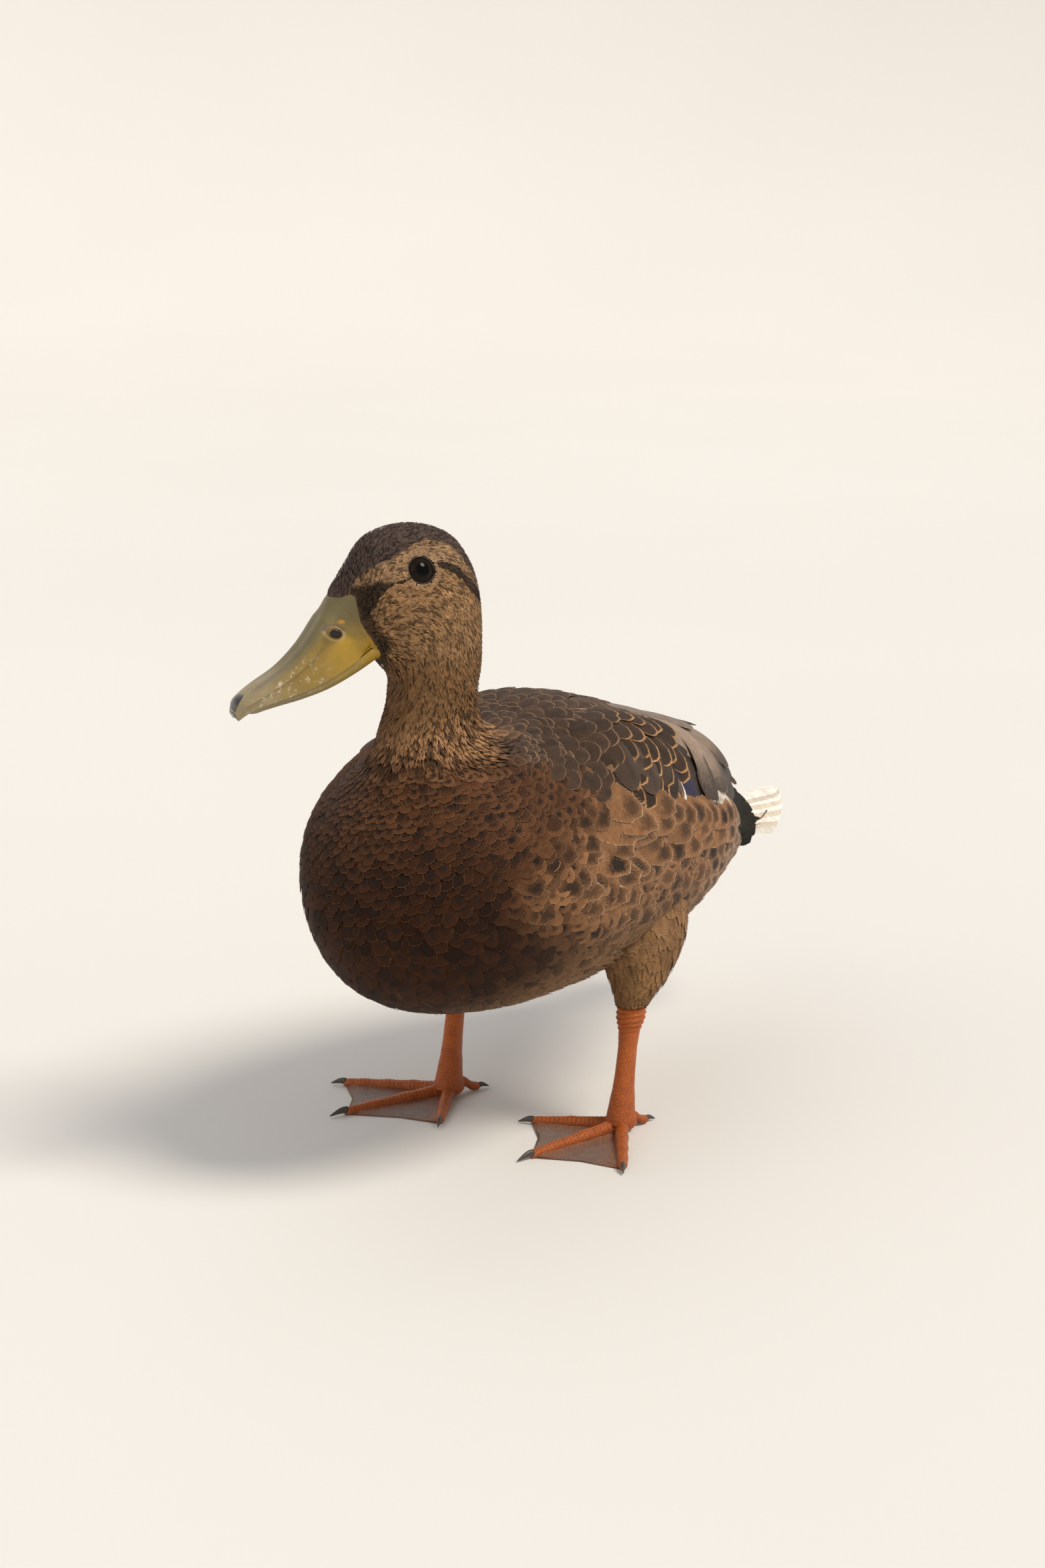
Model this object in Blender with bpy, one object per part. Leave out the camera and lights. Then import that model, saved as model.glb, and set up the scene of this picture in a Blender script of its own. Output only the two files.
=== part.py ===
"""A drake mallard in its dull eclipse plumage, life size, standing with its head turned right.

The duck faces -Y, its own left is +X and +Z is up. Sizes are in millimetres until a mesh is
made. Places along the duck are given as forward (of the feet's middle), up (from the floor)
and side (its own left). Head, neck and trunk are one loft through named stations, parted by
thin cuts; the wings follow the trunk's surface. At the end the whole duck is moved so that
its box is centred over the origin.
"""

import math

import bmesh
import bpy
import numpy as np
from mathutils import Matrix

MM = 0.001
GAP = 0.35  # clearance between neighbouring solids
SIDES = {"left": 1, "right": -1}

# The pose
HEAD_TURN = math.radians(36)  # the head looks this far to the duck's right
TURN_PIVOT = 66  # the neck's axis stands this far forward
TURN_SHARE = ((0, 1.0), (6, 1.0), (8, 0.75), (9.5, 0.35), (11, 0.0))  # (station, share of the turn)

# Stations of head, neck and trunk: forward and up of the back line, forward and up of the
# throat and belly line, half width, and how much wider the section is low down than high up.
STATIONS = (
    (111.5, 238.5, 92, 213.5, 12.5, -0.2),  # 0 bill root
    (102.8, 251.4, 88, 208, 17.3, -0.1),  # 1 lores
    (94.2, 262.3, 85, 204.5, 19.7, -0.03),  # 2 brow
    (78, 266.2, 84, 201, 20.4, 0.03),  # 3 crown
    (61.6, 261.8, 84, 198, 20, 0.1),  # 4 rear crown
    (52.2, 250.3, 85, 195, 19.8, 0.1),  # 5 nape
    (48.2, 235.5, 86, 190, 19.3, 0.06),  # 6 lower nape
    (47.6, 215, 88.5, 184, 18.8, 0.0),  # 7 top of the neck
    (49, 199, 93.5, 172, 19.5, 0.0),  # 8 middle of the neck
    (48.5, 187, 101, 158, 25.5, 0.0),  # 9 base of the neck
    (40, 181, 112, 142, 37.5, 0.0),  # 10 top of the chest
    (23, 183, 122, 120.5, 51, -0.02),  # 11 breast
    (4, 186, 121, 97.5, 59, -0.08),  # 12 keel
    (-19, 183.6, 102, 76, 63, -0.05),  # 13 shoulder
    (-53, 174, 62, 63.5, 64, 0.02),  # 14 belly
    (-90, 161.5, 6, 59, 59, 0.04),  # 15 thighs
    (-122, 146, -57, 60.5, 48.5, 0.05),  # 16 vent
    (-149, 121.5, -114, 72.5, 33.5, -0.02),  # 17 rump
    (-172, 105, -158, 86, 21.5, 0.0),  # 18 tail root
)
HEAD_END, NECK_END, TRUNK_END = 7.0, 10.0, 18.0
CUT = 0.04  # thickness of a cut between two of these nodes, in stations

# Eyes
EYE = (77.8, 11.6, 249.6)  # forward, side, up of the eyeball's centre
EYE_RADIUS = 7.0

# Bill: forward and up of the ridge, forward and up of the cutting edge, half width
BILL = (
    (112.0, 238.0, 96.7, 219.0, 12.0),
    (117.0, 229.5, 105.5, 212.6, 11.0),
    (123.6, 220.4, 115.5, 207.0, 10.4),
    (131.6, 212.5, 126.0, 203.2, 10.7),
    (141.0, 206.4, 136.5, 200.6, 11.8),
    (146.2, 202.6, 143.0, 198.6, 11.3),
    (149.8, 200.0, 147.4, 195.8, 8.6),
    (151.4, 196.6, 149.6, 192.8, 4.6),
)
BILL_SQUARE = ((0, 0.2), (1.5, 0.34), (7, 0.72))  # (row, power of the arch: square at the root, round at the tip)
JAW_LEAN = 0.75  # each section of the jaw slopes back this much for each millimetre down, as the face does
JAW_DEPTH = (5.6, 4.8, 4.2, 3.6, 3.0, 2.6)  # of the lower mandible at the first six of those
NAIL_LENGTH, NAIL_HALF_WIDTH = 11.0, 4.6

# Wings, over the trunk's stations and round from its back line
WING_FRONT = 11.6  # station where a folded wing begins
WING_REAR_LOW, WING_REAR_HIGH = 16.2, 17.2  # stations where it ends, low on the side and on the back
WING_TOP = ((0.0, 34), (0.3, 22), (1.0, 6))  # (share of its length, degrees from the back line)
WING_LOW = ((0.0, 44), (0.25, 61), (1.0, 65))
WING_DEPTH = 5.0
WING_EDGE = 0.7
WING_LIFT = 10  # the tips of the tertials stand this far off the rump

# Tail: forward and up of its top, forward and up of its underside, half width, from root to tips
TAIL = (
    (-172.9, 104.6, -158.9, 85.6, 21.5),
    (-183, 102.5, -172, 87, 21),
    (-191, 101, -185, 90, 20),
    (-197, 99.8, -195, 93, 19),
    (-209, 98.6, -209, 95.2, 20.5),
    (-220, 97, -220, 95.3, 21),
    (-229, 96, -229, 94.7, 19.5),
)
FAN_START, FAN_END = -197, -229
TAIL_ROUNDING = 24  # the outer feathers are this much shorter
TAIL_ARCH = 5  # and lie this much lower
TAIL_FEATHERS = 9

# Legs: where each foot's joint and ankle stand (side, forward), the middle toe's turn to the
# right, and the angles of the inner and outer toes from the middle one
FEET = {
    "left": {"joint": (47, -3.5), "ankle": (47.5, -11), "turn": 16, "inner": -54, "outer": 47},
    "right": {"joint": (-40.5, -3.5), "ankle": (-42, -14), "turn": 27, "inner": 54, "outer": -46},
}
FOOT_TOP, ANKLE = 9.7, 54.0  # heights of the foot's joint and of the ankle
SHANK = ((0.0, 5.0, 6.4), (0.12, 4.6, 6.1), (0.35, 3.9, 5.4), (0.6, 3.7, 5.1), (0.76, 4.4, 5.5), (0.9, 6.0, 6.4),
         (1.0, 5.7, 6.2))  # (share of its height, half width, half depth)
THIGH = ((54.4, 0, 0, 6.6, 7.4), (58, 0, -2, 8.4, 9.6), (66, -1, -7, 12.5, 15), (80, -5, -15, 18, 24),
         (96, -11, -22, 19, 26))  # up, side and forward from the ankle, half width, half depth
TOES = {"inner": 39, "middle": 52, "outer": 49}  # lengths without the claws
CLAWS = {"inner": 6, "middle": 7.5, "outer": 6, "hallux": 4}
TOE_HALF_WIDTH, TOE_HEIGHT = 3.4, (8.0, 4.2)  # height at the joint and at the tip
WEB = 1.5  # thickness of the web
WEB_REACH, WEB_SCALLOP = 0.95, 0.1  # its edge, as shares of the line between two toes' tips
HEEL_RADIUS = 7.0
KNUCKLE_RINGS = (0.5, 4.2)  # radii of the innermost rings of a foot's top
HALLUX = ((-3, 7.0, 2.5), (-8, 4.8, 2.4), (-11, 1.8, 2.2), (-14, 1.6, 1.9))  # forward, up, radius; it ends on the floor

for old in list(bpy.data.objects):
    bpy.data.objects.remove(old, do_unlink=True)


def material(name, colour, roughness):
    made = bpy.data.materials.new(name)
    made.use_nodes = True
    shader = made.node_tree.nodes["Principled BSDF"]
    shader.inputs["Base Color"].default_value = (*colour, 1)
    shader.inputs["Roughness"].default_value = roughness
    shader.inputs["Metallic"].default_value = 0
    return made


HEAD_PLUMAGE = material("head_plumage", (0.16, 0.11, 0.07), 0.85)
BREAST_PLUMAGE = material("breast_plumage", (0.14, 0.08, 0.045), 0.85)
WING_PLUMAGE = material("wing_plumage", (0.05, 0.035, 0.028), 0.75)
TAIL_PLUMAGE = material("tail_plumage", (0.7, 0.62, 0.5), 0.8)
BILL_HORN = material("bill_horn", (0.36, 0.3, 0.07), 0.45)
NAIL_HORN = material("nail_horn", (0.03, 0.03, 0.035), 0.4)
EYE_GLASS = material("eye", (0.015, 0.01, 0.008), 0.08)
LEG_SKIN = material("leg_skin", (0.62, 0.15, 0.03), 0.55)
CLAW_HORN = material("claw_horn", (0.06, 0.05, 0.05), 0.45)


def node(name, points, faces, finish):
    """One solid from points in millimetres, with faces turned outwards."""
    mesh = bpy.data.meshes.new(name)
    mesh.from_pydata((np.asarray(points) * MM).tolist(), [], faces)
    shape = bmesh.new()
    shape.from_mesh(mesh)
    bmesh.ops.recalc_face_normals(shape, faces=shape.faces)
    shape.to_mesh(mesh)
    shape.free()
    mesh.shade_smooth()
    mesh.set_sharp_from_angle(angle=math.radians(50))
    mesh.materials.append(finish)
    obj = bpy.data.objects.new(name, mesh)
    bpy.context.scene.collection.objects.link(obj)
    return obj


def sheath(rings):
    """Points and faces of a closed tube through rings of equal length, with flat end caps."""
    rings = np.asarray(rings, float)
    count, around = rings.shape[:2]
    index = np.arange(count * around).reshape(count, around)
    beside = np.roll(index, -1, axis=1)
    quads = np.stack([index[:-1], beside[:-1], beside[1:], index[1:]], axis=-1).reshape(-1, 4)
    caps = [index[0, ::-1].tolist(), index[-1].tolist()]
    return rings.reshape(-1, 3), quads.tolist() + caps


def cut(obj, cutter, operation="DIFFERENCE", solver="EXACT"):
    modifier = obj.modifiers.new(cutter.name, "BOOLEAN")
    modifier.operation = operation
    modifier.solver = solver
    modifier.object = cutter
    cutter.hide_render = True
    cutter.display_type = "WIRE"


def smooth(rows, t):
    """Cubic through rows at t = 0, 1, 2 and so on; each slope is half the step across its neighbours."""
    rows = np.asarray(rows, float)
    slopes = np.gradient(rows, axis=0)
    i = np.clip(np.floor(t).astype(int), 0, len(rows) - 2)
    s = (t - i)[..., None]
    return (
        rows[i] * (1 + 2 * s) * (1 - s) ** 2
        + slopes[i] * s * (1 - s) ** 2
        + rows[i + 1] * s**2 * (3 - 2 * s)
        + slopes[i + 1] * s**2 * (s - 1)
    )


def turned(forward, side, up, share=1.0):
    """Points of the head or neck after that share of its turn, as x, y, z."""
    angle = HEAD_TURN * share
    ahead = forward - TURN_PIVOT
    x = side * np.cos(angle) - ahead * np.sin(angle)
    y = -(TURN_PIVOT + ahead * np.cos(angle) + side * np.sin(angle))
    return np.stack(np.broadcast_arrays(x, y, up), axis=-1)


def flesh(t, around):
    """The plumage's surface: t runs along the stations, around is the angle from the back line to the left."""
    back_f, back_z, low_f, low_z, half, pear = np.moveaxis(smooth(STATIONS, t), -1, 0)
    c, s = np.cos(around), np.sin(around)
    forward = (back_f + low_f) / 2 + (back_f - low_f) / 2 * c
    up = (back_z + low_z) / 2 + (back_z - low_z) / 2 * c
    side = half * s * (1 - pear * c)
    return turned(forward, side, up, np.interp(t, *np.transpose(TURN_SHARE)))


def raised(t, around, height):
    """The plumage's surface moved outwards along its normal."""
    step = 0.01
    along = flesh(t + step, around) - flesh(t - step, around)
    across = flesh(t, around + step) - flesh(t, around - step)
    out = np.cross(across, along)
    out /= np.linalg.norm(out, axis=-1, keepdims=True)
    return flesh(t, around) + out * np.asarray(height)[..., None]


def length_of_body(name, start, end, rings, around, finish, grow=0.0):
    t, angle = np.meshgrid(
        np.linspace(start, end, rings), np.linspace(0, 2 * math.pi, around, endpoint=False), indexing="ij"
    )
    surface = raised(t, angle, np.full_like(t, grow)) if grow else flesh(t, angle)
    return node(name, *sheath(surface), finish)


def ball(name, centre, radius):
    rows, around = 9, 16
    tilt, angle = np.meshgrid(
        np.linspace(0, math.pi, rows)[1:-1], np.linspace(0, 2 * math.pi, around, endpoint=False), indexing="ij"
    )
    rings = np.stack([np.cos(tilt), np.sin(tilt) * np.cos(angle), np.sin(tilt) * np.sin(angle)], axis=-1)
    return node(name, *sheath(centre + radius * rings), EYE_GLASS)


# Head, neck and trunk, parted by thin cuts
head = length_of_body("head", 0, HEAD_END, 22, 28, HEAD_PLUMAGE)
length_of_body("neck", HEAD_END + CUT, NECK_END - CUT, 8, 28, HEAD_PLUMAGE)
length_of_body("trunk", NECK_END, TRUNK_END, 22, 32, BREAST_PLUMAGE)

# Eyes, sunk in sockets
for side, sign in SIDES.items():
    centre = turned(EYE[0], sign * EYE[1], EYE[2])
    ball(f"eye_{side}", centre, EYE_RADIUS)
    cut(head, ball(f"socket_{side}", centre, EYE_RADIUS + GAP))


# Bill: an arched upper mandible with its nail, over a shallow lower one
def bill_upper():
    table = smooth(BILL, np.linspace(0, len(BILL) - 1, 15))
    ridge_f, ridge_z, edge_f, edge_z, half = (column[:, None] for column in table.T)
    arch = np.linspace(-math.pi / 2, math.pi / 2, 11)[None, :]
    rise = np.cos(arch) ** np.interp(np.linspace(0, 7, len(table)), *np.transpose(BILL_SQUARE))[:, None]
    over = turned(edge_f + (ridge_f - edge_f) * rise, half * np.sin(arch), edge_z + (ridge_z - edge_z) * rise)
    inner = np.linspace(0.6, -0.6, 3)[None, :]
    palate = 0.15 * (1 - inner**2)
    under = turned(edge_f + (ridge_f - edge_f) * palate, half * inner, edge_z + (ridge_z - edge_z) * palate)
    return np.concatenate([over, under], axis=1)


def bill_lower():
    table = smooth(BILL, np.linspace(0, 5.0, 9))
    depth = smooth(np.array(JAW_DEPTH)[:, None], np.linspace(0, 5.0, 9))
    _, _, edge_f, edge_z, half = (column[:, None] for column in table.T)
    bowl = np.linspace(-math.pi / 2, math.pi / 2, 9)[None, :]
    drop = depth * np.cos(bowl) ** 0.7 + GAP
    under = turned(edge_f - JAW_LEAN * drop, (half - 1.4) * np.sin(bowl), edge_z - drop)
    inner = np.linspace(0.5, -0.5, 2)[None, :]
    over = turned(edge_f - JAW_LEAN * GAP + 0 * inner, (half - 1.4) * inner, edge_z - GAP + 0 * inner)
    return np.concatenate([under, over], axis=1)


def nail_cutter(name, grow):
    """An upright oval column through the tip of the bill."""
    angle = np.linspace(0, 2 * math.pi, 20, endpoint=False)
    forward = BILL[-1][0] + (NAIL_LENGTH + grow) * np.cos(angle)
    side = (NAIL_HALF_WIDTH + grow) * np.sin(angle)
    return node(name, *sheath([turned(forward, side, z) for z in (185, 215)]), NAIL_HORN)


upper = node("bill_upper", *sheath(bill_upper()), BILL_HORN)
nail = node("bill_nail", *sheath(bill_upper()), NAIL_HORN)
node("bill_lower", *sheath(bill_lower()), BILL_HORN)
cut(upper, nail_cutter("nail_room", GAP))
cut(nail, nail_cutter("nail_outline", 0), "INTERSECT")


# Folded wings: shells that follow the trunk and stand off the rump at their tips
def wing():
    u, v = np.meshgrid(np.linspace(0, 1, 17), np.linspace(-1, 1, 11), indexing="ij")
    low = (v + 1) / 2
    rear = WING_REAR_HIGH + (WING_REAR_LOW - WING_REAR_HIGH) * low - 0.25 * v**4
    t = WING_FRONT + u * (rear - WING_FRONT)
    top, bottom = (np.interp(u, *np.transpose(edge)) for edge in (WING_TOP, WING_LOW))
    around = np.radians(top + low * (bottom - top))
    lift = GAP + 0.35 + WING_LIFT * np.clip((u - 0.6) / 0.4, 0, 1) ** 1.5 * (1 - low) ** 1.6
    thick = WING_EDGE + WING_DEPTH * (1 - v**2) * (1 - u**3) * np.clip(u / 0.2, 0, 1) ** 0.7
    inner, outer = raised(t, around, lift), raised(t, around, lift + thick)
    return np.concatenate([inner, outer[:, ::-1]], axis=1)


for side, sign in SIDES.items():
    node(f"wing_{side}", *sheath(wing() * (sign, 1, 1)), WING_PLUMAGE)


# Tail: coverts swelling round the root of a shallow fan
def tail():
    back_f, back_z, low_f, low_z, half = (column[:, None] for column in smooth(TAIL, np.linspace(0, 6, 14)).T)
    angle = np.linspace(0, 2 * math.pi, 28, endpoint=False)[None, :]
    across = np.sin(angle)
    forward = (back_f + low_f) / 2 + (back_f - low_f) / 2 * np.cos(angle)
    up = (back_z + low_z) / 2 + (back_z - low_z) / 2 * np.cos(angle)
    fan = np.clip((forward - FAN_START) / (FAN_END - FAN_START), 0, 1) ** 2
    short = TAIL_ROUNDING * across**2 + 2.0 * np.abs(np.sin(across * TAIL_FEATHERS * math.pi / 2))
    droop = TAIL_ARCH * np.sqrt(fan) * across**2
    return np.stack([half * across, -(forward + fan * short), up - droop], axis=-1)


node("tail", *sheath(tail()), TAIL_PLUMAGE)

# Legs
grown = length_of_body("trunk_room", NECK_END, TRUNK_END, 22, 32, BREAST_PLUMAGE, GAP + 0.1)


def ovals(places, around=14):
    """Level ovals at (x, y, z, half width, half depth)."""
    angle = np.linspace(0, 2 * math.pi, around, endpoint=False)
    return [
        np.stack([x + a * np.cos(angle), y + b * np.sin(angle), np.full(around, z)], axis=-1) for x, y, z, a, b in places
    ]


def toe_reach(angle, toes):
    """How far the foot reaches at an angle: to the web's scalloped edge between toes, else the toe's side or heel."""
    names = sorted(toes, key=lambda name: toes[name][0])
    reach = np.full_like(angle, HEEL_RADIUS)
    for a, b in zip(names, names[1:]):
        (start, first), (end, second) = toes[a], toes[b]
        span = end - start
        w = (angle - start) / span
        chord = first * second * math.sin(span) / (
            first * np.sin(np.clip(angle - start, 0, span)) + second * np.sin(np.clip(end - angle, 0, span))
        )
        edge = chord * WEB_REACH * (1 - WEB_SCALLOP * np.sin(math.pi * w))
        reach = np.where((w >= 0) & (w <= 1), np.maximum(reach, edge), reach)
    for direction, length in toes.values():
        off = np.abs(angle - direction)
        side = TOE_HALF_WIDTH / np.sin(np.clip(off, 0.01, 1.5))
        reach = np.maximum(reach, np.where(off < 1.5, np.minimum(side, length), 0))
    return reach


def foot_height(x, y, toes):
    """The web's thickness, with a round ridge along each toe and a flat-topped heel."""
    height = np.full_like(x, WEB)
    for direction, length in toes.values():
        along = x * math.sin(direction) + y * math.cos(direction)
        across = x * math.cos(direction) - y * math.sin(direction)
        share = np.clip(along / length, 0, 1)
        ridge = (TOE_HEIGHT[0] + (TOE_HEIGHT[1] - TOE_HEIGHT[0]) * share) * np.sqrt(
            np.clip(1 - (across / (TOE_HALF_WIDTH + 0.4)) ** 2, 0, 1)
        )
        height = np.maximum(height, np.where(along > 0, ridge, 0))
    heel = 16.5 - 1.6 * np.hypot(x, y)
    return np.clip(np.maximum(height, heel), WEB, FOOT_TOP)


def foot(side):
    """Points and faces of toes and web: rings of the top surface, closed by a flat sole."""
    spec = FEET[side]
    toes = {"middle": (0.0, TOES["middle"])}
    for name in ("inner", "outer"):
        toes[name] = (math.radians(spec[name]), TOES[name])
    offsets = np.radians((-8.5, -4, 0, 4, 8.5))
    marks = np.concatenate([toe[0] + offsets for toe in toes.values()])
    first, last = marks.min(), marks.max()
    webs = np.linspace(first, last, 15)[1:-1]
    webs = webs[np.min(np.abs(webs[:, None] - marks[None, :]), axis=1) > math.radians(3)]
    heel = np.linspace(last, first + 2 * math.pi, 12)[1:-1]
    angle = np.sort(np.concatenate([marks, webs, heel]))
    near = np.where(angle > math.pi, angle - 2 * math.pi, angle)
    reach = toe_reach(near, toes)
    share = np.array([0.08, 0.27, 0.5, 0.74, 0.91, 1.0])
    middle = np.broadcast_to(np.array(KNUCKLE_RINGS)[:, None], (len(KNUCKLE_RINGS), len(near)))
    radius = np.concatenate([middle, middle[-1] + share[:, None] * (reach - middle[-1])])
    x, y = radius * np.sin(near), radius * np.cos(near)
    z = foot_height(x, y, toes)
    tip = np.clip((radius / reach - 0.78) / 0.22, 0, 1)
    z = z * (1 - 0.35 * tip) + WEB * 0.35 * tip
    top = np.stack([x, y, z], axis=-1)
    sole = top[-1] * (1, 1, 0)
    rings = np.concatenate([top, sole[None]])
    return place_on_foot(rings, side), toes


def place_on_foot(points, side):
    """Points given as side, forward and up from a foot's joint, put in the duck's frame."""
    spec = FEET[side]
    turn = -math.radians(spec["turn"])
    x, forward, z = np.moveaxis(np.asarray(points, float), -1, 0)
    left = x * math.cos(turn) + forward * math.sin(turn)
    ahead = forward * math.cos(turn) - x * math.sin(turn)
    return np.stack([spec["joint"][0] + left, -(spec["joint"][1] + ahead), z], axis=-1)


def spike(direction, start, length, height, width):
    """Rings of a claw that leaves a toe's tip along its direction and curves down towards the floor."""
    rings = []
    around = np.linspace(0, 2 * math.pi, 8, endpoint=False)
    for share in np.linspace(0, 1, 5):
        ahead = start + length * share
        size = width * (1 - share) ** 0.7 + 0.2
        z = height * (1 - 0.75 * share**2) + 0.3
        across, rise = size * np.cos(around), np.maximum(z + size * np.sin(around), 0.25)
        x = ahead * math.sin(direction) + across * math.cos(direction)
        y = ahead * math.cos(direction) - across * math.sin(direction)
        rings.append(np.stack([x, y, rise], axis=-1))
    return np.array(rings)


for side, sign in SIDES.items():
    spec = FEET[side]
    rings, toes = foot(side)
    base = node(f"foot_{side}", *sheath(rings), LEG_SKIN)
    round_toe = np.linspace(0, 2 * math.pi, 10, endpoint=False)
    rear = [
        np.stack([r * np.cos(round_toe), np.full(10, f), np.maximum(z + r * np.sin(round_toe), 0)], axis=-1)
        for f, z, r in HALLUX
    ]
    cut(base, node(f"hallux_{side}", *sheath(place_on_foot(rear, side)), LEG_SKIN), "UNION", "MANIFOLD")
    for toe, (direction, length) in toes.items():
        rings = spike(direction, length + GAP, CLAWS[toe], 1.8, 1.6)
        node(f"claw_{toe}_{side}", *sheath(place_on_foot(rings, side)), CLAW_HORN)
    rings = spike(math.pi, -HALLUX[-1][0] + 0.9 * HALLUX[-1][2] + GAP, CLAWS["hallux"], 1.6, 1.3)
    node(f"claw_hallux_{side}", *sheath(place_on_foot(rings, side)), CLAW_HORN)

    (x0, f0), (x1, f1) = spec["joint"], spec["ankle"]
    low, high = FOOT_TOP + GAP, ANKLE - GAP
    shank = ovals(
        (x0 + (x1 - x0) * s, -(f0 + (f1 - f0) * s), low + (high - low) * s, a, b) for s, a, b in SHANK
    )
    node(f"shank_{side}", *sheath(shank), LEG_SKIN)
    thigh = ovals(((x1 + sign * dx, -(f1 + df), z, a, b) for z, dx, df, a, b in THIGH), 18)
    cut(node(f"thigh_{side}", *sheath(thigh), BREAST_PLUMAGE), grown)

# Centre the duck's box over the origin, with the soles at z = 0
bpy.context.view_layer.update()
solids = [obj for obj in bpy.data.objects if not obj.hide_render]
corners = np.array([corner for obj in solids for corner in obj.bound_box])
middle = (corners.min(axis=0) + corners.max(axis=0)) / 2
for obj in bpy.data.objects:
    obj.data.transform(Matrix.Translation((-middle[0], -middle[1], 0)))
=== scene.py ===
"""A drake mallard in dull eclipse plumage, standing still with its head turned to its right.

Sizes are in millimetres: forward of the feet's middle, side to the duck's own left, and up from the floor.
"""

import math

import bpy
import numpy as np
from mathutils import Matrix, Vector


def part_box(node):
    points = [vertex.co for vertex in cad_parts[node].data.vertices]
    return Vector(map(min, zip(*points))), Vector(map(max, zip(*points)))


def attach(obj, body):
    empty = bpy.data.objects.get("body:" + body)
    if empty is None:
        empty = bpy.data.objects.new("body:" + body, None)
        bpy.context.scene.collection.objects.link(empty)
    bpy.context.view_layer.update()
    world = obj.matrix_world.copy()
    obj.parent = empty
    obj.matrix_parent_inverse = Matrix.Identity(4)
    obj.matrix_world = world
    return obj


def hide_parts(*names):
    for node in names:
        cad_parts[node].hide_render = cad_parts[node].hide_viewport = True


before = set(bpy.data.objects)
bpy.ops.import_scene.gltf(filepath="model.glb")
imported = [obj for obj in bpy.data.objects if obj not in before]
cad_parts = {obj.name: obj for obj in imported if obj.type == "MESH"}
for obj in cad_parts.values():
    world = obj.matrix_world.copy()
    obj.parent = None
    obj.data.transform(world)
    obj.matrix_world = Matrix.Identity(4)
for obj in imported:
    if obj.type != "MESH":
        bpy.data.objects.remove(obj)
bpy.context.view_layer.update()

# The skin: one closed surface under all the plumage, from the bill's root to the tail's root. It is
# a loft through stations of the body, each an oval between a point of the back line and one of the
# throat and belly line. It lies under the outline by the depth of the coat.
MM = 0.001
HEAD_TURN = math.radians(36)  # the head looks this far to the duck's right
TURN_PIVOT = 66  # the neck's axis stands this far forward
TURN_SHARE = ((0, 1.0), (6, 1.0), (8, 0.75), (9.5, 0.35), (11, 0.0))  # (station, share of the turn)
STATIONS = (  # back line forward and up, belly line forward and up, half width, how much wider low down
    (111.5, 238.5, 92, 213.5, 12.5, -0.2),  # 0 bill root
    (102.8, 251.4, 88, 208, 17.3, -0.1),  # 1 lores
    (94.2, 262.3, 85, 204.5, 19.7, -0.03),  # 2 brow
    (78, 266.2, 84, 201, 20.4, 0.03),  # 3 crown
    (61.6, 261.8, 84, 198, 20, 0.1),  # 4 rear crown
    (52.2, 250.3, 85, 195, 19.8, 0.1),  # 5 nape
    (48.2, 235.5, 86, 190, 19.3, 0.06),  # 6 lower nape
    (47.6, 215, 88.5, 184, 18.8, 0.0),  # 7 top of the neck
    (49, 199, 93.5, 172, 19.5, 0.0),  # 8 middle of the neck
    (48.5, 187, 101, 158, 25.5, 0.0),  # 9 base of the neck
    (40, 181, 112, 142, 37.5, 0.0),  # 10 top of the chest
    (23, 183, 122, 120.5, 51, -0.02),  # 11 breast
    (4, 186, 121, 97.5, 59, -0.08),  # 12 keel
    (-19, 183.6, 102, 76, 63, -0.05),  # 13 shoulder
    (-53, 174, 62, 63.5, 64, 0.02),  # 14 belly
    (-90, 161.5, 6, 59, 59, 0.04),  # 15 thighs
    (-122, 146, -57, 60.5, 48.5, 0.05),  # 16 vent
    (-149, 121.5, -114, 72.5, 33.5, -0.02),  # 17 rump
    (-172, 105, -158, 86, 21.5, 0.0),  # 18 tail root
    (-183, 102.5, -172, 87.5, 20.5, 0.0),  # 19 tail coverts
    (-191, 100.5, -185, 90, 19, 0.0),  # 20
    (-197, 99, -195, 93, 17, 0.0),  # 21
)
LAST = len(STATIONS) - 1.001
EYE = (77.8, 11.6, 249.6)  # forward, side, up of the eyeball's centre
SIDES = {"left": 1, "right": -1}


def smooth(rows, t):
    """Cubic through rows at t = 0, 1, 2 and so on; each slope is half the step across its neighbours."""
    rows = np.asarray(rows, float)
    slopes = np.gradient(rows, axis=0)
    i = np.clip(np.floor(t).astype(int), 0, len(rows) - 2)
    s = (t - i)[..., None]
    return (
        rows[i] * (1 + 2 * s) * (1 - s) ** 2
        + slopes[i] * s * (1 - s) ** 2
        + rows[i + 1] * s**2 * (3 - 2 * s)
        + slopes[i + 1] * s**2 * (s - 1)
    )


def ramp(x, low, high):
    """0 below low, 1 above high, and an S curve between: 3s squared less 2s cubed."""
    s = np.clip((x - low) / (high - low), 0, 1)
    return s * s * (3 - 2 * s)


def look_up(x, rows):
    """A value read off rows of (place, value), along straight lines between them."""
    return np.interp(x, *np.transpose(rows))


def unit(vectors):
    """Vectors shortened or drawn out to length 1."""
    return vectors / np.linalg.norm(vectors, axis=-1, keepdims=True)


def grid(down, across):
    """Two arrays over a grid: the value of each row, and the value of each column."""
    return np.meshgrid(down, across, indexing="ij")


def circle(count):
    """Angles all the way round in equal steps."""
    return np.linspace(0, 2 * math.pi, count, endpoint=False)


def off_back(around):
    """Degrees from the back line, on either side of it."""
    return np.degrees(np.abs(around))


def turned(forward, side, up, share=1.0):
    """Points of the head or neck after that share of its turn, as x, y, z."""
    angle = HEAD_TURN * share
    ahead = forward - TURN_PIVOT
    x = side * np.cos(angle) - ahead * np.sin(angle)
    y = -(TURN_PIVOT + ahead * np.cos(angle) + side * np.sin(angle))
    return np.stack(np.broadcast_arrays(x, y, up), axis=-1)


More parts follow.
